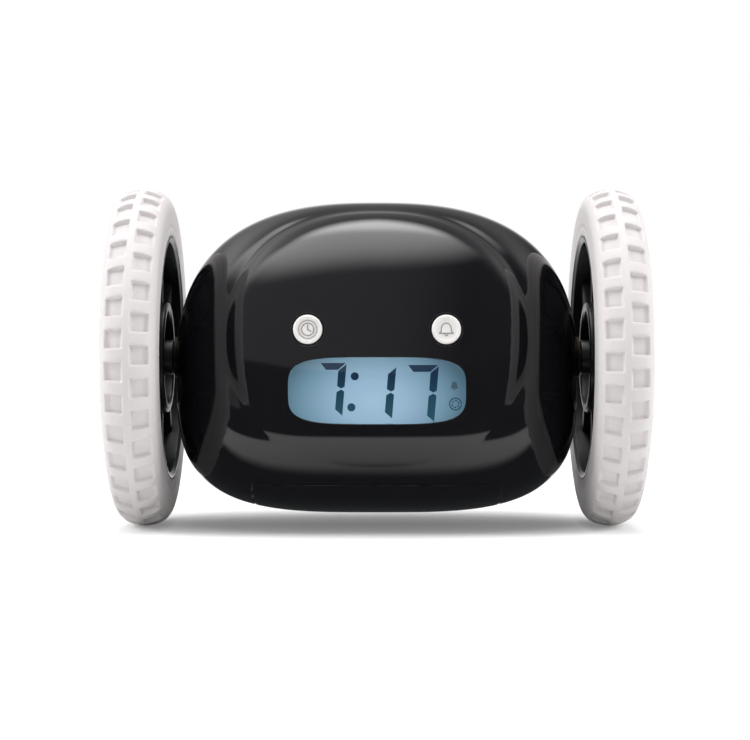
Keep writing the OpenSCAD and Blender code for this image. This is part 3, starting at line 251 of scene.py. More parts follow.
# ------------------------ Front shell
# Injection moulded gloss black ABS, 2.2 mm thick. A raised pillow carries the display and the two
# round buttons, and a concave crease runs round its top and sides. Four screws from behind hold it.
BODY_W, TOP_H, BASE_H, WAIST, DEPTH = 105.6, 44.9, 36.9, 4.0, 79.0
TOP_POWER, BASE_POWER, DEPTH_POWER, WALL = 2.6, 3.45, 2.4, 2.2
HALF_W, HALF_D = BODY_W / 2, DEPTH / 2
FACE_W, FACE_H, FACE_UP, FACE_RISE = 76.4, 65.6, 5.5, 1.6
CREASE_DEPTH, CREASE_W, PANEL_POWER = 0.9, 1.6, 2.25
SEAM, SLIDE = 0.1, 0.3
AROUND = 288


def signed_power(v, p):
    return np.sign(v) * np.abs(v) ** p


def half_height(up, inset):
    return np.where(up, TOP_H, BASE_H) - inset


def outline(u, inset):
    """The body's outline at angle u, seen from the front, about its widest level."""
    up = np.sin(u) >= 0
    p = 2 / np.where(up, TOP_POWER, BASE_POWER)
    return (HALF_W - inset) * signed_power(np.cos(u), p), half_height(up, inset) * signed_power(np.sin(u), p)


def level(x, z, inset=0.0):
    """0 in the middle and 1 on the outline."""
    up = z + WAIST >= 0
    n = np.where(up, TOP_POWER, BASE_POWER)
    across, tall = np.abs(x) / (HALF_W - inset), np.abs(z + WAIST) / half_height(up, inset)
    return (across ** n + tall ** n) ** (1 / n)


def skin_y(x, z, inset=0.0):
    """How far the plain body reaches in front of or behind the axle at x, z."""
    return (HALF_D - inset) * np.maximum(1 - level(x, z, inset) ** DEPTH_POWER, 0) ** (1 / DEPTH_POWER)


def skin_z(x, y, up, inset=0.0):
    """Height of the top (up = 1) or of the underside (up = -1) at x, y."""
    n = TOP_POWER if up > 0 else BASE_POWER
    rho = np.maximum(1 - (np.abs(y) / (HALF_D - inset)) ** DEPTH_POWER, 0) ** (1 / DEPTH_POWER)
    rest = np.maximum(rho ** n - (np.abs(x) / (HALF_W - inset)) ** n, 0)
    return up * half_height(up > 0, inset) * rest ** (1 / n) - WAIST


def panel_level(x, z):
    return ((np.abs(x) / (FACE_W / 2)) ** PANEL_POWER
            + (np.abs(z - FACE_UP) / (FACE_H / 2)) ** PANEL_POWER) ** (1 / PANEL_POWER)


def smooth(t):
    c = np.clip(t, 0, 1)
    return c * c * (3 - 2 * c)


def relief(x, z):
    """How far the face panel stands out of the plain body: more on the pillow, less than 0 in the crease."""
    f = panel_level(x, z)
    share = smooth((z + FACE_H * 0.28) / (FACE_H * 0.22))
    flank = np.minimum(np.abs(x) / (FACE_W / 2), 1) ** 3
    width = CREASE_W * (1 + 0.7 * flank)
    return (FACE_RISE * (1 - np.minimum(f, 1) ** (2.5 + (4 - 2.5 * flank) * share))
            - CREASE_DEPTH * (1 - 0.55 * flank) * share * np.exp(-((f - 1) * FACE_W / 2 / width) ** 2))


def crease_rho(u):
    """Share of the outline at which the crease lies, in the direction u."""
    low, high = np.full_like(u, 0.2), np.full_like(u, 0.97)
    for _ in range(30):
        mid = (low + high) / 2
        x, z = outline(u, 0)
        inside = panel_level(x * mid, z * mid - WAIST) < 1
        low, high = np.where(inside, mid, low), np.where(inside, high, mid)
    return (low + high) / 2


def skin_point(u, v, facing, inset, shaped):
    """A point of the body's skin: u runs round the outline, v from the middle out to the edge."""
    rho = np.sin(v) ** (2 / DEPTH_POWER)
    x, z = outline(u, 0)
    grown = inset - (relief(x * rho, z * rho - WAIST) * (1 - rho ** 12) if shaped else 0.0)
    x, z = outline(u, grown)
    y = facing * (HALF_D - grown) * np.maximum(np.cos(v), 0) ** (2 / DEPTH_POWER)
    return np.stack([x * rho, y, z * rho - WAIST], -1)


def sheet_faces(rows, cols, closed_rows=False, closed_cols=False):
    """Four-sided faces of a grid of points that is stored row by row."""
    i, j = np.meshgrid(np.arange(rows if closed_rows else rows - 1),
                       np.arange(cols if closed_cols else cols - 1), indexing="ij")
    a, b = (i % rows) * cols, ((i + 1) % rows) * cols
    k = (j + 1) % cols
    return np.stack([a + j, a + k, b + k, b + j], -1).reshape(-1, 4).tolist()


def shell_half(facing, shaped):
    """Outer skin, inner skin and the edge between them, eased where the two halves meet."""
    u = np.arange(AROUND) * 2 * math.pi / AROUND
    seam_y = np.array([4.0, 2.2, 1.2, 0.7, 0.42, 0.26, 0.16, 0.09, SEAM / 2])
    late = np.arccos((seam_y / HALF_D) ** (DEPTH_POWER / 2))[:, None] + 0 * u
    ease = np.maximum(0.3 - (seam_y - SEAM / 2), 0)
    ease = (0.3 - np.sqrt(0.09 - ease ** 2)) * 0.8
    if shaped:
        crease = np.arcsin(crease_rho(u) ** (DEPTH_POWER / 2))
        panel = np.concatenate([np.linspace(0.04, 0.8, 22), np.linspace(0.82, 1.0, 15)])
        margin = np.concatenate([np.linspace(0.02, 0.3, 13), np.linspace(0.36, 0.93, 12)])
        v = np.concatenate([panel[:, None] * crease, crease + margin[:, None] * (late[0] - crease)])
    else:
        v = np.linspace(0.02, 0.985, 60)[:, None] * late[0]
    v = np.concatenate([v, late])
    inset = np.concatenate([np.zeros(len(v) - len(ease)), ease])[:, None] + 0 * u
    outer = skin_point(u, v, facing, inset, shaped)
    vi = np.concatenate([np.linspace(0.05, 0.97, 26)[:, None] * late[0], late[[0, 3, 8]]])
    inner = skin_point(u, vi, facing, WALL, False)
    bulge = relief(0.0, -WAIST) if shaped else 0.0
    tips = [[0, facing * (HALF_D + bulge), -WAIST], [0, facing * (HALF_D - WALL), -WAIST]]
    rows = np.concatenate([outer, inner[::-1]])
    faces = sheet_faces(len(rows), AROUND, closed_cols=True)
    last = (len(rows) - 1) * AROUND
    for k in range(AROUND):
        n = (k + 1) % AROUND
        faces.append([len(rows) * AROUND, n, k])
        faces.append([len(rows) * AROUND + 1, last + k, last + n])
    return np.concatenate([rows.reshape(-1, 3), tips]), faces


def plant(name, parts, sharp=32.0):
    """An object from one or more closed solids, given as points in millimetres from the axle and faces."""
    points, faces, start = [], [], 0
    for p, f in parts:
        points.append(np.asarray(p, float))
        faces += [[i + start for i in face] for face in f]
        start += len(p)
    co = np.concatenate(points) / 1000 + [0, 0, AXLE_HEIGHT / 1000]
    mesh = bpy.data.meshes.new(name)
    mesh.from_pydata(co.tolist(), [], faces)
    work = bmesh.new()
    work.from_mesh(mesh)
    bmesh.ops.remove_doubles(work, verts=work.verts, dist=1e-7)
    bmesh.ops.dissolve_degenerate(work, edges=work.edges, dist=1e-8)
    bmesh.ops.recalc_face_normals(work, faces=work.faces)
    work.to_mesh(mesh)
    work.free()
    mesh.shade_smooth()
    mesh.set_sharp_from_angle(angle=math.radians(sharp))
    made = bpy.data.objects.new(name, mesh)
    scene.collection.objects.link(made)
    return made


def carve(piece, tools, operation="DIFFERENCE"):
    """Adds solids to a piece or takes them away, one after the other, and deletes the tools."""
    for tool in tools:
        step = piece.modifiers.new("carve", "BOOLEAN")
        step.operation, step.solver, step.object = operation, "MANIFOLD", tool
    bpy.context.view_layer.update()
    mesh = bpy.data.meshes.new_from_object(piece.evaluated_get(bpy.context.evaluated_depsgraph_get()))
    piece.modifiers.clear()
    mesh.materials.clear()
    old, piece.data = piece.data, mesh
    bpy.data.meshes.remove(old)
    for tool in tools:
        bpy.data.objects.remove(tool)


def keep_gloss(piece, skin, sharp=32.0):
    """Gives what is left of the smooth skin its own normals: reflections run clean up to each opening."""
    tree = BVHTree.FromPolygons([v.co for v in skin.vertices], [p.vertices for p in skin.polygons])
    own = [v.normal.copy() for v in skin.vertices]
    mesh = piece.data
    mesh.shade_smooth()
    mesh.set_sharp_from_angle(angle=math.radians(sharp))
    found = [tree.find_nearest(v.co, 0.00002) for v in mesh.vertices]
    normals = [Vector((0, 0, 0))] * len(mesh.loops)
    for face in mesh.polygons:
        hits = [found[i] for i in face.vertices]
        if any(h[0] is None for h in hits) or face.normal.dot(hits[0][1]) < 0.7:
            continue
        for loop, hit in zip(face.loop_indices, hits):
            corners = skin.polygons[hit[2]].vertices
            weights = [1 / ((skin.vertices[c].co - hit[0]).length + 1e-7) ** 2 for c in corners]
            total = Vector((0, 0, 0))
            for c, w in zip(corners, weights):
                total += own[c] * w
            normals[loop] = total.normalized()
    mesh.normals_split_custom_set(normals)


def tube(r, low, high, at=(0, 0, 0), axis="y", steps=64):
    """A round solid along an axis."""
    return turned([(0, low), (r, low), (r, high), (0, high)], steps, axis, at)


def turned(rings, steps=96, axis="x", at=(0, 0, 0)):
    """An outline of (radius, height) pairs, turned about an axis. A closed outline ends where it begins."""
    a = np.arange(steps) * 2 * math.pi / steps
    r, h = np.array(rings, float).T
    c, s = np.outer(r, np.cos(a)), np.outer(r, np.sin(a))
    along = h[:, None] + 0 * c
    order = {"x": (along, c, s), "y": (s, along, c), "z": (c, s, along)}[axis]
    return np.stack(order, -1).reshape(-1, 3) + at, sheet_faces(len(r), steps, closed_cols=True)


def laid(loop, y):
    """A closed outline of x, z pairs as points at the depth y."""
    return np.stack([loop[:, 0], y + 0 * loop[:, 0], loop[:, 1]], -1)


def grown(loop, by):
    """A closed outline of x, z pairs, moved outwards by a distance."""
    along = np.roll(loop, -1, 0) - np.roll(loop, 1, 0)
    along /= np.linalg.norm(along, axis=1)[:, None]
    return loop + by * np.stack([along[:, 1], -along[:, 0]], -1)


def lofted(loops):
    """A solid between closed loops of equally many points, closed by a flat face at both ends."""
    n = len(loops[0])
    faces = sheet_faces(len(loops), n, closed_cols=True)
    faces += [list(range(n))[::-1], [(len(loops) - 1) * n + i for i in range(n)]]
    return np.concatenate(loops), faces


def opening(loop, depth_at, deep, ease, facing):
    """A tool that cuts an opening through the skin and rounds its rim: loop is the opening's outline."""
    angles = np.radians([0, 18, 36, 54, 70])
    steps = [(0.0, deep)] + [(ease * (1 - math.cos(a)), ease * (1 - math.sin(a))) for a in angles]
    steps += [(steps[-1][0] + 0.56, steps[-1][1] - 0.2), (steps[-1][0] + 0.9, -3.0)]
    rings = []
    for by, below in steps:
        ring = grown(loop, by)
        rings.append(laid(ring, facing * (depth_at(ring[:, 0], ring[:, 1]) - below)))
    return lofted(rings)


def circle(r, x=0.0, z=0.0, steps=96):
    a = np.arange(steps) * 2 * math.pi / steps
    return np.stack([x + r * np.cos(a), z + r * np.sin(a)], -1)


def caster(skin, facing):
    """A call that gives the depth of a finished skin at x, z by looking at it from outside."""
    tree = BVHTree.FromPolygons([v.co for v in skin.vertices], [p.vertices for p in skin.polygons])

    def depth_at(x, z):
        starts = [Vector((a / 1000, facing * 0.2, (b + AXLE_HEIGHT) / 1000))
                  for a, b in zip(np.ravel(x), np.ravel(z))]
        found = [tree.ray_cast(start, Vector((0, -facing, 0)))[0] for start in starts]
        return np.array([abs(p.y) * 1000 if p else 0.0 for p in found])
    return depth_at


WINDOW_W, WINDOW_H, WINDOW_DROP, FLANGE = 43.6, 16.2, 8.2, 1.5
LENS_RECESS, LENS_T, FLANGE_T = 0.35, 1.6, 0.8
u = np.arange(160) * 2 * math.pi / 160
window_loop = np.stack([WINDOW_W / 2 * signed_power(np.cos(u), 0.5),
                        WINDOW_H / 2 * signed_power(np.sin(u), 0.5) - WINDOW_DROP], -1)
EYE_X, EYE_UP, BUTTON_R, BUTTON_GAP, BUTTON_OUT = 17.0, 6.85, 3.6, 0.4, 0.7
PAD_R, PAD_T = 6.2, 1.2
BOSS_R, PILOT_R, LOW_BOSS_END = 3.5, 0.85, 0.9
BOSSES = [(s * x, z) for s in (-1, 1) for x, z in ((24.0, 26.0), (35.0, -21.5))]
BOARD_FRONT, POST_R = 26.5, 2.4
POSTS = [(s * 28.8, t * 17.8 - 2) for s in (-1, 1) for t in (-1, 1)]
DOOR_HALF, DOOR_DROP = 31.85, 32.0
BUSH_R, SEAT_R, SEAT_FROM, SEAT_TO = 4.05, 6.6, 47.6, 51.3

front_shell = plant("front_shell_moulding", [shell_half(-1, True)])
front_skin = front_shell.data.copy()
front_depth = caster(front_skin, -1)


def wall_reach(x, z, r):
    """How far a round post at x, z may reach and still end inside the wall."""
    a = np.radians(np.arange(0, 360, 30))
    return float(np.min(skin_y(x + r * np.cos(a), z + r * np.sin(a), WALL * 0.7)))


def bosses():
    """The four screw bosses of the rear shell, which the front shell has as a mirror image."""
    ends = [(SEAM / 2 if z > 0 else LOW_BOSS_END, wall_reach(x, z, BOSS_R)) for x, z in BOSSES]
    return plant("bosses", [tube(BOSS_R, *end, (x, 0, z)) for end, (x, z) in zip(ends, BOSSES)])


def bush_seats(facing):
    """The half discs round the axle that the two axle bushes lie in."""
    a = np.radians(np.linspace(0, 180, 25))
    y, z = facing * (np.sin(a) * SEAT_R + SEAM / 2), np.cos(a) * SEAT_R
    loops = [[np.stack([np.full(25, s * x), y, z], -1) for x in (SEAT_FROM, SEAT_TO)] for s in (-1, 1)]
    return plant("bush_seats", [lofted(pair) for pair in loops])


def bush_cuts():
    return plant("bush_cuts", [tube(BUSH_R, s * 46.5, s * 54, axis="x") for s in (-1, 1)])


posts = [tube(POST_R, -wall_reach(x, z, POST_R), -BOARD_FRONT - 0.05, (x, 0, z)) for x, z in POSTS]
front_bosses = bosses()
front_bosses.data.transform(((1, 0, 0, 0), (0, -1, 0, 0), (0, 0, 1, 0), (0, 0, 0, 1)))
front_bosses.data.flip_normals()
eye_pad = wall_reach(EYE_X, EYE_UP, PAD_R)
eye_seat = eye_pad - PAD_T
carve(front_shell, [
    front_bosses,
    plant("board_posts", posts),
    plant("button_pads", [tube(PAD_R, -eye_pad, -eye_seat, (s * EYE_X, 0, EYE_UP)) for s in (-1, 1)]),
    bush_seats(-1),
], "UNION")


def sunk(loop, low, high, facing, depth_at):
    """A tool that follows the skin between two depths below it."""
    skin = depth_at(loop[:, 0], loop[:, 1])
    return lofted([laid(loop, facing * (skin - d)) for d in (high, low)])


def block(low, high):
    x, y, z = zip(low, high)
    loop = [(x[0], y[0]), (x[1], y[0]), (x[1], y[1]), (x[0], y[1])]
    return lofted([np.array([(a, b, c) for a, b in loop]) for c in z])


def button_cuts(x, z, depth_at, facing):
    return plant("button_cuts", [opening(circle(BUTTON_R + BUTTON_GAP, s * x, z), depth_at, 9.0, 0.3, facing)
                                 for s in (-1, 1)])


carve(front_shell, [
    plant("window_cut", [opening(grown(window_loop, SEAM), front_depth, 9.0, 0.35, -1)]),
    plant("flange_cut", [sunk(grown(window_loop, FLANGE + SEAM), 1.05, 9.0, -1, front_depth)]),
    button_cuts(EYE_X, EYE_UP, front_depth, -1),
    plant("glass_room", [block((-22.9, -34.1, -17.4), (22.9, -BOARD_FRONT, 1.0))]),
    plant("door_cut", [block((-DOOR_HALF - SEAM, -40, -46), (DOOR_HALF + SEAM, 5, -DOOR_DROP + SEAM))]),
    bush_cuts(),
    plant("pilot_cuts", [tube(PILOT_R, -9.5, 1, (x, 0, z), steps=24) for x, z in BOSSES]
          + [tube(PILOT_R, -29.7, -25.5, (x, 0, z), steps=24) for x, z in POSTS]),
])
keep_gloss(front_shell, front_skin)

# Gloss black plastic: deep black under a polished skin, with the faint unevenness of a moulding and
# a few dull smears from handling.
shell_black, feed, place = finish("gloss_black_plastic", IOR=1.5)
cloud = place.noise(22.0, 3.0)
smear = place.noise(9.0, 2.0, (1, 1, 2.4))
peel = place.noise(420.0, 1.0)
feed(Base_Color=cloud.blend(rgb(0.0050, 0.0050, 0.0064), rgb(0.0072, 0.0072, 0.0090)),
     Roughness=0.05 + 0.05 * smear.step(0.35, 0.75) + 0.02 * cloud,
     Normal=peel.bump(0.000004, 0.35))
front_shell.data.materials.append(shell_black)
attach(front_shell, "clock_body")
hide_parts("front_shell")


# ------------------------ Rear shell
# The other half of the body, moulded in the same plastic. It holds the grille of the loudspeaker,
# four deep screw wells and the openings for the snooze bar and the two setting buttons.
SPEAKER_DROP, SPEAKER_R = 8.0, 15.0
SNOOZE_L, SNOOZE_W, SNOOZE_BACK = 26.0, 11.0, 10.0
SET_X, SET_UP = 9.0, 15.0
SCREW_SEAT, HEAD_R = 7.0, 2.1

rear_shell = plant("rear_shell_moulding", [shell_half(1, False)])
rear_skin = rear_shell.data.copy()
rear_depth = caster(rear_skin, 1)


def stadium(grow, steps=48):
    """The snooze bar's outline, grown by a distance, as x, y pairs."""
    a = np.arange(steps) * 2 * math.pi / steps
    straight = (SNOOZE_L - SNOOZE_W) / 2
    r = SNOOZE_W / 2 + grow
    return np.stack([np.sign(np.cos(a) + 1e-9) * straight + r * np.cos(a), SNOOZE_BACK + r * np.sin(a)], -1)


def snooze_cut():
    """Cuts the bar's opening through the top and rounds its rim."""
    rings = []
    for by, below in ((0, 9), (0.0, 0.4), (0.06, 0.2), (0.2, 0.07), (0.42, 0.0), (0.9, -0.4), (1.2, -3.0)):
        ring = stadium(SLIDE + by)
        rings.append(np.column_stack([ring, skin_z(ring[:, 0], ring[:, 1], 1) - below]))
    return lofted(rings)


speaker_front = float(skin_y(0, -SPEAKER_DROP - SPEAKER_R - 1.2, WALL)) - 0.4
speaker_wall = wall_reach(0, -SPEAKER_DROP, SPEAKER_R + 1.6)
ring_in, ring_out = SPEAKER_R - 1.4, SPEAKER_R + 1.6
speaker_ring = [(ring_in, speaker_wall), (ring_in, speaker_front), (ring_out, speaker_front),
                (ring_out, speaker_wall), (ring_in, speaker_wall)]
set_pad = wall_reach(SET_X, SET_UP, PAD_R)
carve(rear_shell, [
    bosses(),
    plant("button_pads", [tube(PAD_R, set_pad - PAD_T, set_pad, (s * SET_X, 0, SET_UP)) for s in (-1, 1)]),
    plant("speaker_ring", [turned(speaker_ring, 96, "y", (0, 0, -SPEAKER_DROP))]),
    bush_seats(1),
], "UNION")

GRILLE_PITCH, GRILLE_HOLE_R = 4, 1.1
grille = []
for i in range(-3, 4):
    for j in range(-3, 4):
        x, z = GRILLE_PITCH * (i + j / 2), GRILLE_PITCH * j * math.sin(math.radians(60))
        if math.hypot(x, z) < SPEAKER_R * 0.62:
            grille.append(opening(circle(GRILLE_HOLE_R, x, z - SPEAKER_DROP, 32), rear_depth, 4.5, 0.25, 1))
carve(rear_shell, [
    plant("grille_cuts", grille),
    plant("snooze_cut", [snooze_cut()]),
    button_cuts(SET_X, SET_UP, rear_depth, 1),
    plant("screw_wells", [opening(circle(HEAD_R + 0.3, x, z, 48), rear_depth,
                                  float(rear_depth([x], [z])[0]) - SCREW_SEAT, 0.35, 1) for x, z in BOSSES]),
    plant("screw_holes", [tube(1.2, -1, 9, (x, 0, z), steps=32) for x, z in BOSSES]),
    plant("door_cut", [block((-DOOR_HALF - SEAM, -5, -46), (DOOR_HALF + SEAM, 40, -DOOR_DROP + SEAM))]),
    bush_cuts(),
])
keep_gloss(rear_shell, rear_skin)
rear_shell.data.materials.append(shell_black)
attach(rear_shell, "clock_body")
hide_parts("rear_shell")


# ------------------------ Battery door
# A moulded tray of the same black plastic that closes the underside and reaches a little up the
# front and the back. One captive screw holds it.
CELL_D, CELL_PITCH, CELL_DROP = 10.5, 11.0, 28.7
DOOR_SCREW_X, DOOR_BOSS_R = 28.65, 2.2


def door_reach(x, inset):
    q = (np.abs(x) / (HALF_W - inset)) ** BASE_POWER + ((DOOR_DROP - WAIST) / (BASE_H - inset)) ** BASE_POWER
    return (HALF_D - inset) * (1 - q ** (DEPTH_POWER / BASE_POWER)) ** (1 / DEPTH_POWER)


def door_point(x, t, inset):
    y = door_reach(x, inset) * np.sin(math.pi / 2 * t)
    z = np.where(np.abs(t) > 0.9999, -DOOR_DROP, skin_z(x, y, -1, inset))
    return np.stack([x, y, z], -1)


# The tray's outline is eased over its last half millimetre, so that the seam shows as a fine line.
edge_x = DOOR_HALF - np.array([0.0, 0.1, 0.26, 0.5])
edge_t = np.array([1.0, 0.975, 0.955, 0.935])
eased = np.array([0.5, 0.24, 0.07, 0.0])
door_xs = np.concatenate([-edge_x, np.linspace(-31.2, 31.2, 40), edge_x[::-1]])
door_ts = np.concatenate([-edge_t, np.linspace(-0.91, 0.91, 56), edge_t[::-1]])
door_ease = np.maximum(np.concatenate([eased, np.zeros(40), eased[::-1]])[:, None],
                       np.concatenate([eased, np.zeros(56), eased[::-1]])[None, :])
grid_x, grid_t = np.meshgrid(door_xs, door_ts, indexing="ij")
outside = door_point(grid_x, grid_t, door_ease)
inside = door_point(grid_x, grid_t, np.full_like(grid_x, WALL))
rows, cols = grid_x.shape
count = rows * cols
faces = sheet_faces(rows, cols) + [[i + count for i in f] for f in sheet_faces(rows, cols)]
rim = [i * cols for i in range(rows)] + [(rows - 1) * cols + j for j in range(1, cols)]
rim += [i * cols + cols - 1 for i in range(rows - 2, -1, -1)] + list(range(cols - 2, 0, -1))
faces += [[a, b, b + count, a + count] for a, b in zip(rim, rim[1:] + rim[:1])]
points = np.concatenate([outside.reshape(-1, 3), inside.reshape(-1, 3)])
door = plant("battery_door_moulding", [(points, faces)])
door_skin = door.data.copy()
rib_gap = math.sqrt((CELL_D / 2) ** 2 - (CELL_PITCH / 2 - 1) ** 2) + SLIDE
screw_low = float(skin_z(DOOR_SCREW_X, 0, -1))
RIB_X, RIB_T, RIB_W = 12, 1.2, 2
door_ribs = []
for x in (-RIB_X, RIB_X):
    for y in (-CELL_PITCH, 0, CELL_PITCH):
        low = float(skin_z(x, y, -1)) + WALL / 2
        high = -CELL_DROP - rib_gap
        door_ribs.append(block((x - RIB_T / 2, y - RIB_W / 2, low), (x + RIB_T / 2, y + RIB_W / 2, high)))
carve(door, [plant("ribs", door_ribs),
             plant("screw_seat", [tube(DOOR_BOSS_R, screw_low + WALL / 2, -DOOR_DROP - 2 - SEAM,
                                       (DOOR_SCREW_X, 0, 0), "z")])], "UNION")
carve(door, [plant("screw_well", [tube(HEAD_R + 0.2, -60, screw_low + 1.8, (DOOR_SCREW_X, 0, 0), "z", 48)]),
             plant("screw_hole", [tube(1.1, -60, 0, (DOOR_SCREW_X, 0, 0), "z", 32)])])
keep_gloss(door, door_skin)
door.data.materials.append(shell_black)
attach(door, "battery_door_body")
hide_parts("battery_door")


# ------------------------ Display lens
# A clear moulded acrylic window that follows the curve of the face. Its thin flange rests behind
# the shell, and its edge is broken all round.
def lens_ring(scale, grow, below):
    """The window's outline, shrunk or grown, at a depth below the face."""
    ring = grown(window_loop, grow)
    ring = (ring - [0, -WINDOW_DROP]) * scale + [0, -WINDOW_DROP]
    return laid(ring, below - (skin_y(ring[:, 0], ring[:, 1]) + relief(ring[:, 0], ring[:, 1])))


spread = (0.01, 0.15, 0.3, 0.45, 0.6, 0.72, 0.83, 0.92, 0.985)
lens_back = LENS_RECESS + LENS_T
front_rings = [lens_ring(k, 0, LENS_RECESS) for k in spread]
front_rings += [lens_ring(1, -g, LENS_RECESS + d) for g, d in ((0.12, 0.0), (0.04, 0.03), (0.0, 0.12))]
back_rings = [lens_ring(1, g, d) for g, d in ((0, lens_back - FLANGE_T), (FLANGE, lens_back - FLANGE_T),
                                              (FLANGE, lens_back))]
back_rings += [lens_ring(k, 0, lens_back) for k in spread[::-1]]
lens = plant("display_window", [lofted(front_rings + back_rings)])
acrylic, feed, place = finish("clear_acrylic", IOR=1.49, Transmission_Weight=1.0, Specular_IOR_Level=0.2)
haze = place.noise(30.0, 2.0)
feed(Base_Color=haze.blend(rgb(0.93, 0.96, 0.97), rgb(0.97, 0.985, 0.99)),
     Roughness=0.02 + 0.03 * haze.step(0.4, 0.8), Normal=place.noise(300.0).bump(0.000002, 0.3))
lens.data.materials.append(acrylic)
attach(lens, "clock_body")
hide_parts("lcd_lens")


# ------------------------ Display
# A liquid crystal cell of two glass sheets, lit from behind in blue. The dark segments of the time
# and two small signs lie in it; they are laid on its front as a film of their own thickness.
GLASS_Y = -34.0
GLASS_W, GLASS_H = WINDOW_W + 2, WINDOW_H + 2


def plate(loop, y0, y1):
    """A flat piece of the outline loop (x, z pairs) between two depths."""
    return lofted([laid(loop, y) for y in (y1, y0)])


low, high = -WINDOW_DROP - GLASS_H / 2, -WINDOW_DROP + GLASS_H / 2
sheet_front = [(-GLASS_W / 2, low), (GLASS_W / 2, low), (GLASS_W / 2, high), (-GLASS_W / 2, high)]
sheet_back = [(x, min(z, high - 1.2)) for x, z in sheet_front]
glass = plant("crystal_cell", [plate(grown(np.array(sheet_front), -0.07), GLASS_Y, GLASS_Y + 0.1),
                               plate(np.array(sheet_front), GLASS_Y + 0.1, GLASS_Y + 0.98),
                               plate(np.array(sheet_back), GLASS_Y + 1.02, GLASS_Y + 2.0)], 20)
cell_glass, feed, place = finish("lit_display_glass", IOR=1.5, Emission_Strength=1.0, Specular_IOR_Level=0.1)
# The glow is brightest a little below the middle and fades to the ends and the top: the backlight's own
# falloff, with painted shade from the window's rim laid over it.
along = (place.axis("X") + 0.001) * 42.0
up = (place.axis("Z") - (AXLE_HEIGHT - WINDOW_DROP - 2.6) / 1000) * 66.0
off = (along * along + up * up) ** 0.5
BACKLIGHT_AND_RIM_SHADE = [(0.0, rgb(0.39, 0.57, 0.74)), (0.35, rgb(0.33, 0.50, 0.66)), (0.75, rgb(0.17, 0.30, 0.40)),
             (1.0, rgb(0.07, 0.14, 0.19))]
light = off.node("ShaderNodeValToRGB", {"stops": BACKLIGHT_AND_RIM_SHADE}, {0: off})
mottle = place.noise(160.0, 3.0)
feed(Base_Color=mottle.blend(rgb(0.02, 0.03, 0.035), rgb(0.03, 0.045, 0.05)), Emission_Color=light,
     Roughness=0.10 + 0.04 * mottle, Normal=mottle.bump(0.000003, 0.2))
glass.data.materials.append(cell_glass)
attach(glass, "clock_body")
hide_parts("lcd_glass")

DIGIT_LEAN = 0.085
BAR_H, BAR_W, BAR_GAP = 1.7, 1.9, 0.13


def leaned(points, x, z):
    """Moves a drawing to its place in the display and leans it to the right."""
    p = np.array(points, float)
    return np.stack([x + p[:, 0] + p[:, 1] * DIGIT_LEAN, z + p[:, 1]], -1)


def upright(w, top, h):
    """A bar of a digit's right side: slanted where another bar could meet it, pointed at the middle."""
    half = h / 2
    if top == 0:
        return [(w, -0.3), (w, -half + 0.55), (w - BAR_W * 0.45, -half + BAR_GAP), (w - BAR_W, -half + 0.75),
                (w - BAR_W, -BAR_H - 0.25)]
    return [(w - BAR_W * 0.45, -half - BAR_GAP), (w, -half - 0.6), (w, -h), (w - BAR_W, -h + BAR_W * 0.8),
            (w - BAR_W, -half - 0.75)]


def figure(x, z, w, h, with_top):
    """A 7, or a 1 without its top bar, from its upper left corner."""
    bars = [upright(w, 0, h), upright(w, 1, h)]
    if with_top:
        bars.append([(0, 0), (w - 0.2, 0), (w - BAR_W - 0.1, -BAR_H), (BAR_W * 0.75, -BAR_H)])
    return [leaned(bar, x, z) for bar in bars]


strokes = figure(-13.9, -1.4, 6.4, 12.9, True) + figure(-1.6, -2.2, 6.4, 12.8, False)
strokes += figure(7.7, -1.9, 7.6, 13.9, True)
strokes += [circle(1.0, -5.5, -4.7, 24), circle(1.0, -6.35, -12.3, 24)]
digits = plant("display_digits", [plate(s, GLASS_Y - 0.12, GLASS_Y - 0.01) for s in strokes])
ink, feed, place = finish("crystal_segment_blue", Emission_Strength=1.0, Specular_IOR_Level=0.0)
height = place.axis("Z").step((AXLE_HEIGHT - 16) / 1000, (AXLE_HEIGHT - 2) / 1000)
feed(Base_Color=place.noise(400.0).blend(rgb(0.004, 0.008, 0.014), rgb(0.006, 0.012, 0.02)),
     Emission_Color=height.blend(rgb(0.022, 0.085, 0.125), rgb(0.007, 0.026, 0.062)),
     Roughness=0.26 + 0.08 * place.noise(700.0), Normal=place.noise(900.0).bump(0.000002, 0.2))
digits.data.materials.append(ink)
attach(digits, "clock_body")


def ring_of(x, z, r, w, share=(0.0, 1.0), steps=40):
    """A ring of width w, or a part of one, as a closed outline."""
    a = np.linspace(share[0], share[1], steps) * 2 * math.pi
    out = np.stack([x + (r + w / 2) * np.cos(a), z + (r + w / 2) * np.sin(a)], -1)
    inn = np.stack([x + (r - w / 2) * np.cos(a), z + (r - w / 2) * np.sin(a)], -1)
    return np.concatenate([out, inn[::-1]])


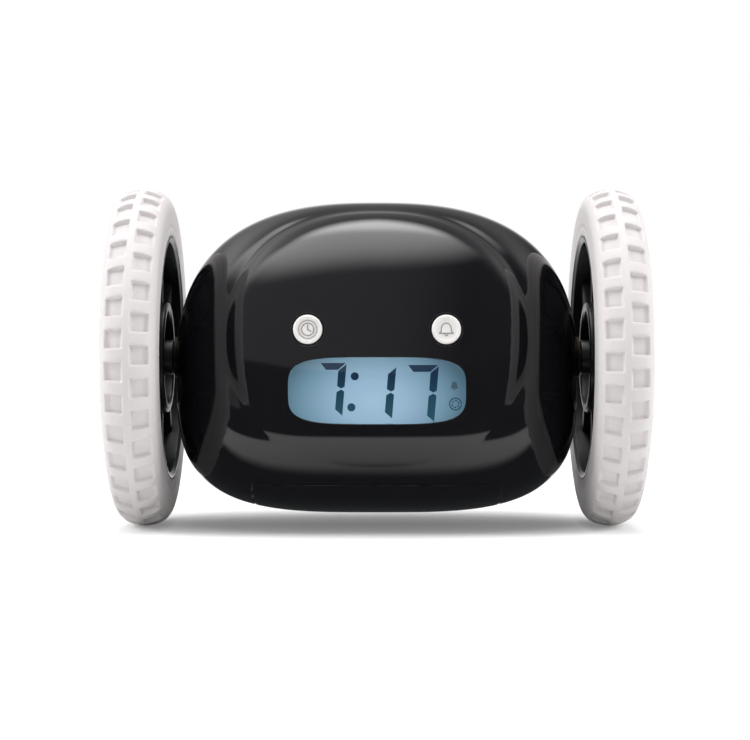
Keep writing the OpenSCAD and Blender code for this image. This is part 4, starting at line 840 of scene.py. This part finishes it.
signs = [ring_of(19.35, -11.5, 1.45, 0.28, (0.0, 0.97))]
signs += [ring_of(19.35, -11.5, 0.85, 0.3, (k / 6, k / 6 + 0.11), 6) for k in range(6)]
bell = [(-1.1, -0.9), (1.1, -0.9), (0.85, -0.5), (0.7, 0.4), (0.35, 0.95), (-0.35, 0.95), (-0.7, 0.4),
        (-0.85, -0.5)]
faint_signs = [np.array(bell) * 0.9 + [19.1, -6.9], circle(0.22, 19.1, -7.95, 12)]
sign_film = plant("display_signs", [plate(s, GLASS_Y - 0.1, GLASS_Y - 0.01) for s in signs])
sign_film.data.materials.append(ink)
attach(sign_film, "clock_body")
faint_film = plant("display_bell_sign", [plate(s, GLASS_Y - 0.08, GLASS_Y - 0.01) for s in faint_signs])
faint, feed, place = finish("crystal_segment_off", Emission_Strength=1.0)
tint = place.noise(400.0)
feed(Base_Color=tint.blend(rgb(0.01, 0.02, 0.025), rgb(0.02, 0.03, 0.04)),
     Emission_Color=tint.blend(rgb(0.048, 0.096, 0.130), rgb(0.052, 0.104, 0.140)),
     Roughness=0.26 + 0.08 * tint, Normal=place.noise(900.0).bump(0.000002, 0.2))
faint_film.data.materials.append(faint)
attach(faint_film, "clock_body")


# ------------------------ Time and alarm buttons
# Two round caps of white ABS in wells of the face, each with a plain sign printed in its shallow
# dish: a clock for the time and a bell for the alarm. A collar behind the wall keeps them in.
eye_skin = float(skin_y(EYE_X, EYE_UP) + relief(EYE_X, EYE_UP))
BUTTON_EDGE, DISH_R, DISH_DEPTH = 0.45, 2.75, 0.32
COLLAR_W, COLLAR_T, STEM_R = 1.3, 0.9, 1.3
SIGN_STROKE = 0.24
eye_reach = eye_skin + BUTTON_OUT - BOARD_FRONT - 5.0


def cap(seat, reach):
    """A button's outline from its face inwards: rounded edge, dish, skirt, collar and stem."""
    curve = [(BUTTON_R - BUTTON_EDGE * (1 - math.sin(a)), -BUTTON_EDGE * (1 - math.cos(a)))
             for a in np.radians([0, 15, 30, 45, 60, 75, 90])]
    face = [(0, -DISH_DEPTH), (DISH_R - 0.25, -DISH_DEPTH), (DISH_R - 0.1, -DISH_DEPTH * 0.75),
            (DISH_R, -DISH_DEPTH * 0.3), (DISH_R + 0.12, 0)]
    top, low = -seat - SEAM, -seat - SEAM - COLLAR_T
    collar = [(BUTTON_R, top), (BUTTON_R + COLLAR_W, top), (BUTTON_R + COLLAR_W, low), (STEM_R, low)]
    return face + curve + collar + [(STEM_R, -reach), (0, -reach)]


def stroke(points, w=SIGN_STROKE):
    """A line of even width along points, as a closed outline."""
    p = np.array(points, float)
    d = np.gradient(p, axis=0)
    d /= np.linalg.norm(d, axis=1)[:, None]
    n = np.stack([-d[:, 1], d[:, 0]], -1) * w / 2
    return np.concatenate([p - n, (p + n)[::-1]])


bell_line = [(-1.75, -0.95), (-1.3, -0.55), (-1.2, 0.3), (-0.95, 1.05), (-0.4, 1.5), (0.4, 1.5), (0.95, 1.05),
             (1.2, 0.3), (1.3, -0.55), (1.75, -0.95)]
bell_sign = [stroke(bell_line), stroke([(-1.75, -0.95), (0, -0.95), (1.75, -0.95)]),
             stroke([(-0.4, -1.2), (-0.2, -1.5), (0.2, -1.5), (0.4, -1.2)])]
clock_sign = [ring_of(0, 0, r, w, (0, 0.999), 48) for r, w in ((2.2, 0.14), (1.5, SIGN_STROKE))]
clock_sign += [stroke([(0, -0.05), (0, 0.55), (0, 1.15)]), stroke([(-0.05, 0), (0.45, -0.25), (0.85, -0.45)])]


def grained(name, noise, dark, pale, rough, relief, fine=None, **fixed):
    """A finish in which one noise runs from dark to pale and from smooth to rough. The same noise, or a
    fine one of its own, gives the relief."""
    material, feed, place = finish(name, **fixed)
    grain = place.noise(*noise)
    height = place.noise(*fine) if fine else grain
    feed(Base_Color=grain.blend(rgb(*dark), rgb(*pale)), Roughness=rough[0] + rough[1] * grain,
         Normal=height.bump(*relief))
    return material


white_cap = grained("white_button_plastic", (260.0, 3.0), (0.76, 0.742, 0.725), (0.84, 0.822, 0.805),
                    (0.42, 0.12), (0.000012, 0.4), fine=(1400.0, 2.0), IOR=1.5)
grey_print = grained("grey_sign_print", (2200.0, 3.0), (0.22, 0.20, 0.20), (0.36, 0.33, 0.33), (0.5, 0.2),
                     (0.00001, 0.4), IOR=1.45)
for name, s, sign in (("time_button", -1, clock_sign), ("alarm_button", 1, bell_sign)):
    at = (s * EYE_X, -(eye_skin + BUTTON_OUT), EYE_UP)
    seat = eye_skin + BUTTON_OUT - eye_seat
    outline_rings = [(r, -h) for r, h in cap(seat, eye_reach)]
    button = plant(name + "_cap", [turned(outline_rings, 72, "y", at)], 40)
    film = at[1] + DISH_DEPTH
    printed = plant(name + "_sign", [plate(loop + [at[0], at[2]], film - 0.1, film) for loop in sign])
    printed.data.materials.append(grey_print)
    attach(printed, name + "_body")
    button.data.materials.append(white_cap)
    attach(button, name + "_body")
    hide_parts(name)


# ------------------------ Snooze bar
# A long key in the top, moulded in the body's black plastic. It follows the body's curve, stands a
# little proud of it, and slides down on one stem.
PLATE_OUT, PLATE_T = SLIDE + 0.9, 1.2
plate_z = float(skin_z(SNOOZE_L / 2, SNOOZE_BACK + SNOOZE_W / 2, 1, WALL)) - 0.6
snooze_rings = []
rounding = [(by, BUTTON_OUT) for by in (-SNOOZE_W / 2 + 0.02, -4.4, -3.3, -2.2, -1.2, -0.55)]
rounding += [(-0.3, 0.66), (-0.12, 0.55), (-0.03, 0.38), (0.0, 0.15)]
for by, out in rounding:
    ring = stadium(by)
    top = skin_z(ring[:, 0], ring[:, 1], 1, -BUTTON_OUT)
    snooze_rings.append(np.column_stack([ring, top - BUTTON_OUT + out]))
for by, z in ((0.0, plate_z), (PLATE_OUT, plate_z), (PLATE_OUT, plate_z - PLATE_T)):
    ring = stadium(by)
    snooze_rings.append(np.column_stack([ring, np.full(len(ring), z)]))
snooze_stem = tube(STEM_R, plate_z - PLATE_T - 0.4, plate_z - 0.6, (0, SNOOZE_BACK, 0), "z", 32)
snooze = plant("snooze_bar", [lofted(snooze_rings), snooze_stem], 40)
snooze.data.materials.append(shell_black)
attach(snooze, "snooze_button_body")
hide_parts("snooze_button")


# ------------------------ Setting buttons
# Two round caps at the back, moulded like the front pair in white ABS, with a raised plus or minus
# in the dish.
set_skin = float(skin_y(SET_X, SET_UP))
set_seat = set_pad - PAD_T
set_reach = set_skin + BUTTON_OUT - set_seat + SEAM + COLLAR_T + 2.2
for name, s in (("plus_button", -1), ("minus_button", 1)):
    at = (s * SET_X, set_skin + BUTTON_OUT, SET_UP)
    parts = [turned(cap(set_skin + BUTTON_OUT - set_seat, set_reach), 72, "y", at)]
    bars = [stroke([(-1.4, 0), (0, 0), (1.4, 0)], 0.5)]
    if name == "plus_button":
        bars += [stroke([(0, t * 0.25), (0, t * 0.8), (0, t * 1.4)], 0.5) for t in (1, -1)]
    parts += [plate(loop + [at[0], at[2]], at[1] - DISH_DEPTH - 0.1, at[1] - 0.03) for loop in bars]
    button = plant(name + "_cap", parts, 40)
    button.data.materials.append(white_cap)
    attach(button, name + "_body")
    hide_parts(name)


# ------------------------ Tyres
# Soft white rubber, moulded in one piece. Two rows of pockets, half a step apart, leave a rib
# between them and square lugs on both shoulders. A groove inside grips the rim's rib.
TYRE_X, TYRE_W, PITCHES = 61.2, 13.8, 34
CROWN_R, SHOULDER_R, TREAD_R = 10.0, 5.0, 44.5
SHOULDER_OFF, SHOULDER_AT = 1.9, 39.125
RIB_HALF, POCKET_HALF = 1.05, 2.41
pitch = 2 * math.pi * TREAD_R / PITCHES


def crown(off):
    """Outside radius of the plain tyre at a distance from its middle."""
    off = np.abs(off)
    split = CROWN_R * math.sin(math.atan2(SHOULDER_OFF, SHOULDER_AT - (TREAD_R - CROWN_R)))
    middle = TREAD_R - CROWN_R + np.sqrt(CROWN_R ** 2 - np.minimum(off, split) ** 2)
    side = SHOULDER_AT + np.sqrt(np.maximum(SHOULDER_R ** 2 - np.maximum(off - SHOULDER_OFF, 0) ** 2, 0))
    return np.where(off < split, middle, side)


def soft_step(d, w):
    """Goes from 1 at -w to 0 at w."""
    t = np.clip((w - d) / (2 * w), 0, 1)
    return t * t * (3 - 2 * t)


POCKET_DEPTH, POCKET_END = 1.35, 5.0
SIDE_SOFT, END_SOFT = 0.2, 0.75
lug_edge = np.array([-0.3, -0.13, 0.0, 0.13, 0.3])
half_offs = np.array([0.4, 0.75, 0.92, 1.05, 1.18, 1.35, 1.9, 2.5, 3.1, 3.7, 4.2, 4.6, 4.9, 5.1, 5.25, 5.4,
                      5.55, 5.7, 6.0, 6.3, 6.55, 6.75, 6.87, 6.9])
offs = np.concatenate([-half_offs[::-1], [0.0], half_offs])
radii = crown(offs)
wall_radii = np.array([38.4, 37.4, 36.4, 35.6, 35.3, 35.1, 34.6, 34.1, 33.9, 33.6, 33.0, 32.5, 32.2])
wall_offs = TYRE_W / 2 - 0.16 * np.exp(-((wall_radii - 34.6) / 0.5) ** 2)
wall_offs -= np.where(wall_radii < 32.4, 0.15, 0)
bore = [(32.05, 6.5), (32.05, 1.6), (33.05, 1.6), (33.05, -1.6), (32.05, -1.6), (32.05, -6.5)]
stations = np.concatenate([c * POCKET_HALF + lug_edge for c in (-1, 1)]
                          + [c * (pitch / 2 - POCKET_HALF) + lug_edge for c in (-1, 1)]
                          + [[0, -0.8, 0.8, -3.3, 3.3, pitch / 2]])
stations = np.sort(stations)


def tyre(s, turn):
    """One tyre. turn is how far its pattern is rolled up at the front, in degrees."""
    place_on = (stations[None, :] + np.arange(PITCHES)[:, None] * pitch).ravel()
    theta = place_on / TREAD_R + math.radians(180 - turn)
    local = (place_on + pitch / 2) % pitch - pitch / 2
    inner_row = soft_step(np.abs(local) - POCKET_HALF, SIDE_SOFT)
    outer_row = soft_step(np.abs(np.abs(local) - pitch / 2) - POCKET_HALF, SIDE_SOFT)
    rows = []
    for off, r in zip(offs, radii):
        row = inner_row if off < 0 else outer_row
        cut = row * soft_step(RIB_HALF - abs(off), SIDE_SOFT) * soft_step(abs(off) - POCKET_END, END_SOFT)
        rows.append((off, r - cut * POCKET_DEPTH))
    rows += [(w, np.full_like(theta, r)) for r, w in zip(wall_radii, wall_offs)]
    rows += [(w, np.full_like(theta, r)) for r, w in bore]
    rows += [(-w, np.full_like(theta, r)) for r, w in zip(wall_radii[::-1], wall_offs[::-1])]
    points = [np.stack([np.full_like(theta, s * (TYRE_X + w)), r * np.cos(theta), r * np.sin(theta)], -1)
              for w, r in rows]
    return np.concatenate(points), sheet_faces(len(rows), len(theta), True, True)


tyre_rubber, feed, place = finish("white_tyre_rubber", IOR=1.5, Specular_IOR_Level=0.35)
cloud = place.noise(45.0, 4.0)
speck = place.noise(900.0, 2.0)
feed(Base_Color=(0.6 * cloud + 0.4 * speck).blend(rgb(0.61, 0.580, 0.577), rgb(0.69, 0.660, 0.657)),
     Roughness=0.55 + 0.2 * cloud, Normal=place.noise(1100.0, 3.0).bump(0.00003, 0.5))
for side, s, turn in (("left", -1, 0.7), ("right", 1, -1.55)):
    rubber = plant("tyre_tread_" + side, [tyre(s, turn)], 50)
    rubber.data.materials.append(tyre_rubber)
    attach(rubber, f"wheel_{side}_body")
    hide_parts("tyre_" + side)


# ------------------------ Wheel rims
# Moulded black plastic: a barrel with a lip towards the body, a dished web with six forked ribs,
# a raised ring round the hub, and a rib that locks the tyre.
def rounded(corners, steps=5):
    """A closed outline of (radius, height, rounding) corners with an arc at each rounded corner."""
    points = []
    for i, (x, y, f) in enumerate(corners):
        here = np.array([x, y])
        if not f:
            points.append(here)
            continue
        a = np.array(corners[i - 1][:2]) - here
        b = np.array(corners[(i + 1) % len(corners)][:2]) - here
        a, b = a / np.linalg.norm(a), b / np.linalg.norm(b)
        half = math.acos(np.clip(a @ b, -1, 1)) / 2
        reach, centre = f / math.tan(half), here + (a + b) / np.linalg.norm(a + b) * f / math.sin(half)
        start, end = here + a * reach - centre, here + b * reach - centre
        for k in range(steps + 1):
            t = k / steps
            p = start * math.sin((1 - t) * (math.pi - 2 * half)) + end * math.sin(t * (math.pi - 2 * half))
            points.append(centre + p / math.sin(math.pi - 2 * half))
    return [tuple(p) for p in points] + [tuple(points[0])]


hub_and_ring = [(1.52, 53.85, 0), (4.6, 53.85, 0.4), (4.6, 59.3, 0.9), (12.4, 59.3, 0.6), (12.4, 55.15, 0.6),
                (14.6, 55.15, 0.7), (14.6, 59.4, 0.8), (30.6, 60.3, 1.2)]
lip = [(30.6, 55.0, 0.25), (31.3, 54.5, 0.15), (31.4, 54.3, 0.05), (32.0, 54.3, 0.2)]
locking_rib = [(32.0, 59.7, 0), (33.0, 60.0, 0.2), (33.0, 62.4, 0.2), (32.0, 62.7, 0)]
outer_side = [(32.0, 68.1, 0.5), (30.4, 67.6, 0.3), (30.4, 62.1, 0.9), (4.6, 61.1, 0.8), (4.6, 63.1, 0.3),
              (1.52, 63.1, 0)]
rim_section = rounded(hub_and_ring + lip + locking_rib + outer_side)


def forked_rib(turn):
    """A Y of three bars with rounded tops, from the hub's ring to the barrel."""
    made = []
    fork, reach = 22.0, 31.2
    ends = [((13.0, 0.0), (fork + 0.4, 0.0))]
    ends += [((fork - 0.6, 0.0), (reach * math.cos(t), reach * math.sin(t))) for t in np.radians([11, -11])]
    top, foot, half = 56.9, 60.1, 1.0
    profile = [(half, foot), (half, top + 0.7), (0.85 * half, top + 0.25), (0.5 * half, top + 0.04),
               (-0.5 * half, top + 0.04), (-0.85 * half, top + 0.25), (-half, top + 0.7), (-half, foot)]
    c, s = math.cos(turn), math.sin(turn)
    for a, b in ends:
        a, b = np.array(a), np.array(b)
        along = (b - a) / np.linalg.norm(b - a)
        across = np.array([-along[1], along[0]])
        loops = []
        for end in (a, b):
            flat = [end + across * w for w, _ in profile]
            loops.append(np.array([(h, c * p[0] - s * p[1], s * p[0] + c * p[1])
                                   for p, (_, h) in zip(flat, profile)]))
        made.append(lofted(loops))
    return made


rim_black, feed, place = finish("wheel_black_plastic", IOR=1.5, Specular_IOR_Level=0.4)
cloud = place.noise(60.0, 3.0)
feed(Base_Color=cloud.blend(rgb(0.010, 0.010, 0.011), rgb(0.016, 0.016, 0.018)),
     Roughness=0.24 + 0.18 * cloud.step(0.3, 0.8), Normal=place.noise(700.0, 2.0).bump(0.000012, 0.5))
for side, s in (("left", -1), ("right", 1)):
    flip = np.array([s, 1, 1])
    points, faces = turned(rim_section, 160)
    wheel = plant("wheel_rim_" + side, [(points * flip, faces)], 40)
    for k in range(6):
        arms = [plant("rib", [(p * flip, f)]) for p, f in forked_rib(math.radians(30 + 60 * k))]
        carve(wheel, arms, "UNION")
    wheel.data.shade_smooth()
    wheel.data.set_sharp_from_angle(angle=math.radians(40))
    wheel.data.materials.append(rim_black)
    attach(wheel, f"wheel_{side}_body")
    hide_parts("rim_" + side)


# ------------------------ Hub caps
# A shallow dome of grey plastic that snaps into the outer side of each rim and covers its screw.
# Two fine grooves and six shallow flutes are moulded into it.
CAP_R, CAP_EDGE, CAP_RISE = 30.3, 66.9, 2.6
FLUTES, FLUTE_FROM, FLUTE_TO, FLUTE_DEPTH = 6, 12.0, 25.0, 0.5
GROOVES_AT, GROOVE = (27.6, 8.0), 0.35
cap_dome = (CAP_R ** 2 + CAP_RISE ** 2) / (2 * CAP_RISE)


def cap_height(r, angle):
    """Height of the dome's outside: flutes between two radii, and a fine groove beyond each end of them."""
    base = CAP_EDGE + CAP_RISE - 2.2 - cap_dome + np.sqrt(cap_dome ** 2 - r ** 2)
    band = soft_step(FLUTE_FROM - r, 0.5) * soft_step(r - FLUTE_TO, 0.5)
    flute = FLUTE_DEPTH * band * (0.35 + 0.65 * (0.5 + 0.5 * np.cos(FLUTES * angle)) ** 3)
    groove = sum(GROOVE * np.exp(-((r - at) / GROOVE) ** 2) for at in GROOVES_AT)
    return base - flute - groove


cap_radii = [0.05, 2.5, 5, 6.8, 7.4, 7.7, 8, 8.3, 8.6, 9.5, 11, 11.5, 11.8, 12.1, 12.5, 14, 16, 18, 20, 22,
             23.5, 24.5, 24.8, 25.1, 25.5, 26.6, 27.1, 27.4, 27.6, 27.8, 28.1, 28.6, 29.4, 29.9, 30.15, CAP_R]
snap_ring = [(CAP_R, 64.6), (28.9, 64.6), (28.9, 62.3), (27.5, 62.3), (27.5, 64.6)]
centre_peg = [(7.3, 65.4), (7.3, 61.6), (6.1, 61.6), (6.1, 65.5), (0.05, 65.8)]
a = np.arange(144) * 2 * math.pi / 144
section = [(r, cap_height(r, a) - 0.5 * max(r - 29.8, 0) ** 2) for r in cap_radii]
section += [(r, np.full(144, h)) for r, h in snap_ring + centre_peg]
points, faces = lofted([np.stack([h, r * np.cos(a), r * np.sin(a)], -1) for r, h in section])
cap_grey = grained("grey_cap_plastic", (70.0, 3.0), (0.060, 0.062, 0.066), (0.085, 0.087, 0.092),
                   (0.38, 0.14), (0.00002, 0.5), fine=(1500.0, 2.0), IOR=1.5)
for side, s in (("left", -1), ("right", 1)):
    dome = plant("hub_cap_dome_" + side, [(points * [s, 1, 1], faces)], 40)
    dome.data.materials.append(cap_grey)
    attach(dome, f"wheel_{side}_body")
    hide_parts("hub_cap_" + side)


# ------------------------ Turning metal
# Ground steel axles, gear pins and screws, brass pinions, and sintered bronze bushes dark with oil.
def dress(material, *names):
    """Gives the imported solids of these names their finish."""
    for name in names:
        for spot in nodes[name].material_slots:
            spot.material = material


def both(*names):
    return [f"{name}_{side}" for name in names for side in ("left", "right")]


steel = grained("bright_steel", (2600.0, 3.0, (1, 0.06, 0.06)), (0.50, 0.51, 0.53), (0.66, 0.67, 0.69),
                (0.22, 0.18), (0.00001, 0.4), Metallic=1.0)
dress(steel, *both("axle", "wheel_screw"), "cluster_pins", "shell_screws", "board_screws", "frame_screws",
      "door_screw")
bronze = grained("oily_bronze", (3200.0, 4.0), (0.020, 0.016, 0.012), (0.050, 0.038, 0.026),
                 (0.35, 0.25), (0.00002, 0.6), Metallic=1.0)
dress(bronze, "axle_bushes")
brass = grained("cut_brass", (2400.0, 2.0, (0.1, 1, 1)), (0.60, 0.44, 0.18), (0.76, 0.60, 0.28),
                (0.22, 0.16), (0.00001, 0.4), Metallic=1.0)
dress(brass, *both("pinion"))


# ------------------------ Gears and their frames
# Two moulded gear stages a side, in cream acetal, between the two plates of a grey frame.
acetal = grained("cream_acetal", (500.0, 3.0), (0.66, 0.63, 0.54), (0.76, 0.73, 0.64), (0.32, 0.12),
                 (0.00001, 0.4), IOR=1.48)
dress(acetal, *both("output_gear", "cluster_gear"))
frame_grey = grained("grey_frame_plastic", (300.0, 3.0), (0.070, 0.074, 0.080), (0.100, 0.105, 0.112),
                     (0.42, 0.16), (0.00002, 0.5), fine=(1600.0, 2.0), IOR=1.5)
dress(frame_grey, *both("gear_frame"), "battery_tray")


# ------------------------ Motors
# Drawn steel cans, nickel plated, with a rolled seam and a plastic end cap that holds the terminals.
plated = grained("nickel_can", (120.0, 3.0), (0.42, 0.42, 0.41), (0.60, 0.60, 0.58), (0.24, 0.2),
                 (0.00001, 0.5), fine=(900.0, 3.0, (0.15, 1, 1)), Metallic=1.0)
dress(plated, *both("motor"), "battery_contacts", "speaker_basket")


# ------------------------ Boards
# Glass fibre boards in green solder mask. Their weave shows through, and copper runs under the mask.
board, feed, place = finish("green_solder_mask", IOR=1.52)
weave = 0.5 + 0.25 * ((place.axis("X") * 5200.0).sine() + (place.axis("Z") * 5200.0).sine())
copper = place.node("ShaderNodeTexVoronoi", {"distance": "MANHATTAN", "feature": "F1"},
                    {"Vector": place, "Scale": 420.0}).step(0.28, 0.34)
feed(Base_Color=copper.blend(rgb(0.020, 0.115, 0.050), rgb(0.008, 0.060, 0.028)),
     Roughness=0.28 + 0.1 * weave, Normal=(weave * 0.4 + copper * 0.6).bump(0.00003, 0.5))
dress(board, "main_board", "rear_board", "snooze_board")

resin = grained("black_chip_resin", (2800.0, 3.0), (0.014, 0.014, 0.015), (0.034, 0.034, 0.036), (0.5, 0.25),
                (0.00002, 0.6), IOR=1.5)
dress(resin, "board_parts", "tact_switches")
plunger_grey = grained("grey_plunger_plastic", (900.0, 2.0), (0.36, 0.36, 0.37), (0.46, 0.46, 0.47),
                       (0.34, 0.14), (0.00001, 0.4), IOR=1.5)
dress(plunger_grey, *[f"{name}_plunger" for name in ("time", "alarm", "snooze", "plus", "minus")])


# ------------------------ Behind the display
# A black frame clips the cell to the board, a milky acrylic block spreads the light, and a strip of
# striped rubber carries the contacts.
matt_black = grained("matt_black_plastic", (1800.0, 3.0), (0.010, 0.010, 0.011), (0.022, 0.022, 0.024),
                     (0.5, 0.2), (0.00002, 0.5), IOR=1.5)
dress(matt_black, "lcd_frame")

milky, feed, place = finish("milky_acrylic", IOR=1.49, Emission_Strength=0.35)
spread_light = place.noise(90.0, 2.0)
feed(Base_Color=spread_light.blend(rgb(0.62, 0.72, 0.78), rgb(0.74, 0.82, 0.86)),
     Emission_Color=spread_light.blend(rgb(0.25, 0.42, 0.60), rgb(0.34, 0.52, 0.68)),
     Roughness=0.3 + 0.2 * spread_light, Normal=place.noise(700.0).bump(0.00002, 0.5))
dress(milky, "light_guide")

striped, feed, place = finish("striped_contact_rubber", IOR=1.45)
stripe = (place.axis("X") * 12000.0).sine().step(-0.3, 0.3)
feed(Base_Color=stripe.blend(rgb(0.020, 0.020, 0.022), rgb(0.42, 0.38, 0.36)), Roughness=0.6 + 0.15 * stripe,
     Normal=place.noise(1500.0).bump(0.00002, 0.4))
dress(striped, "zebra_strips")


# ------------------------ Loudspeaker cone
# Pressed black paper with a soft ring round it, glued into a plated steel basket.
pulp = grained("pressed_paper", (1300.0, 5.0), (0.018, 0.016, 0.015), (0.055, 0.050, 0.046), (0.8, 0.15),
               (0.00006, 0.8), Specular_IOR_Level=0.2)
dress(pulp, "speaker_cone")


# ------------------------ Cells
# Four AAA cells in shrunk sleeves: green with a copper coloured end and a plated tip.
sleeve, feed, place = finish("cell_sleeve_green", IOR=1.5)
scuff = place.noise(160.0, 4.0)
ends = abs(place.axis("X"))
band = ends.step(0.0155, 0.0157)
tip = ends.step(0.0210, 0.0211)
body_green = scuff.blend(rgb(0.010, 0.120, 0.075), rgb(0.020, 0.165, 0.105))
coppered = band.blend(body_green, rgb(0.45, 0.22, 0.11))
feed(Base_Color=tip.blend(coppered, rgb(0.60, 0.60, 0.60)), Metallic=0.85 * band,
     Roughness=0.24 + 0.14 * scuff, Normal=scuff.bump(0.00003, 0.3))
dress(sleeve, "battery_cells")


# ------------------------ Leads
# Fine tinned strands in red sleeves, and grey ones between the boards.
red_sleeve = grained("red_lead_sleeve", (700.0, 2.0), (0.30, 0.020, 0.016), (0.42, 0.035, 0.026),
                     (0.36, 0.14), (0.00003, 0.4), IOR=1.5)
dress(red_sleeve, "motor_leads", "battery_leads", "speaker_leads")
grey_sleeve = grained("grey_lead_sleeve", (700.0, 2.0), (0.48, 0.48, 0.49), (0.60, 0.60, 0.61),
                      (0.36, 0.14), (0.00003, 0.4), IOR=1.5)
dress(grey_sleeve, "board_leads")
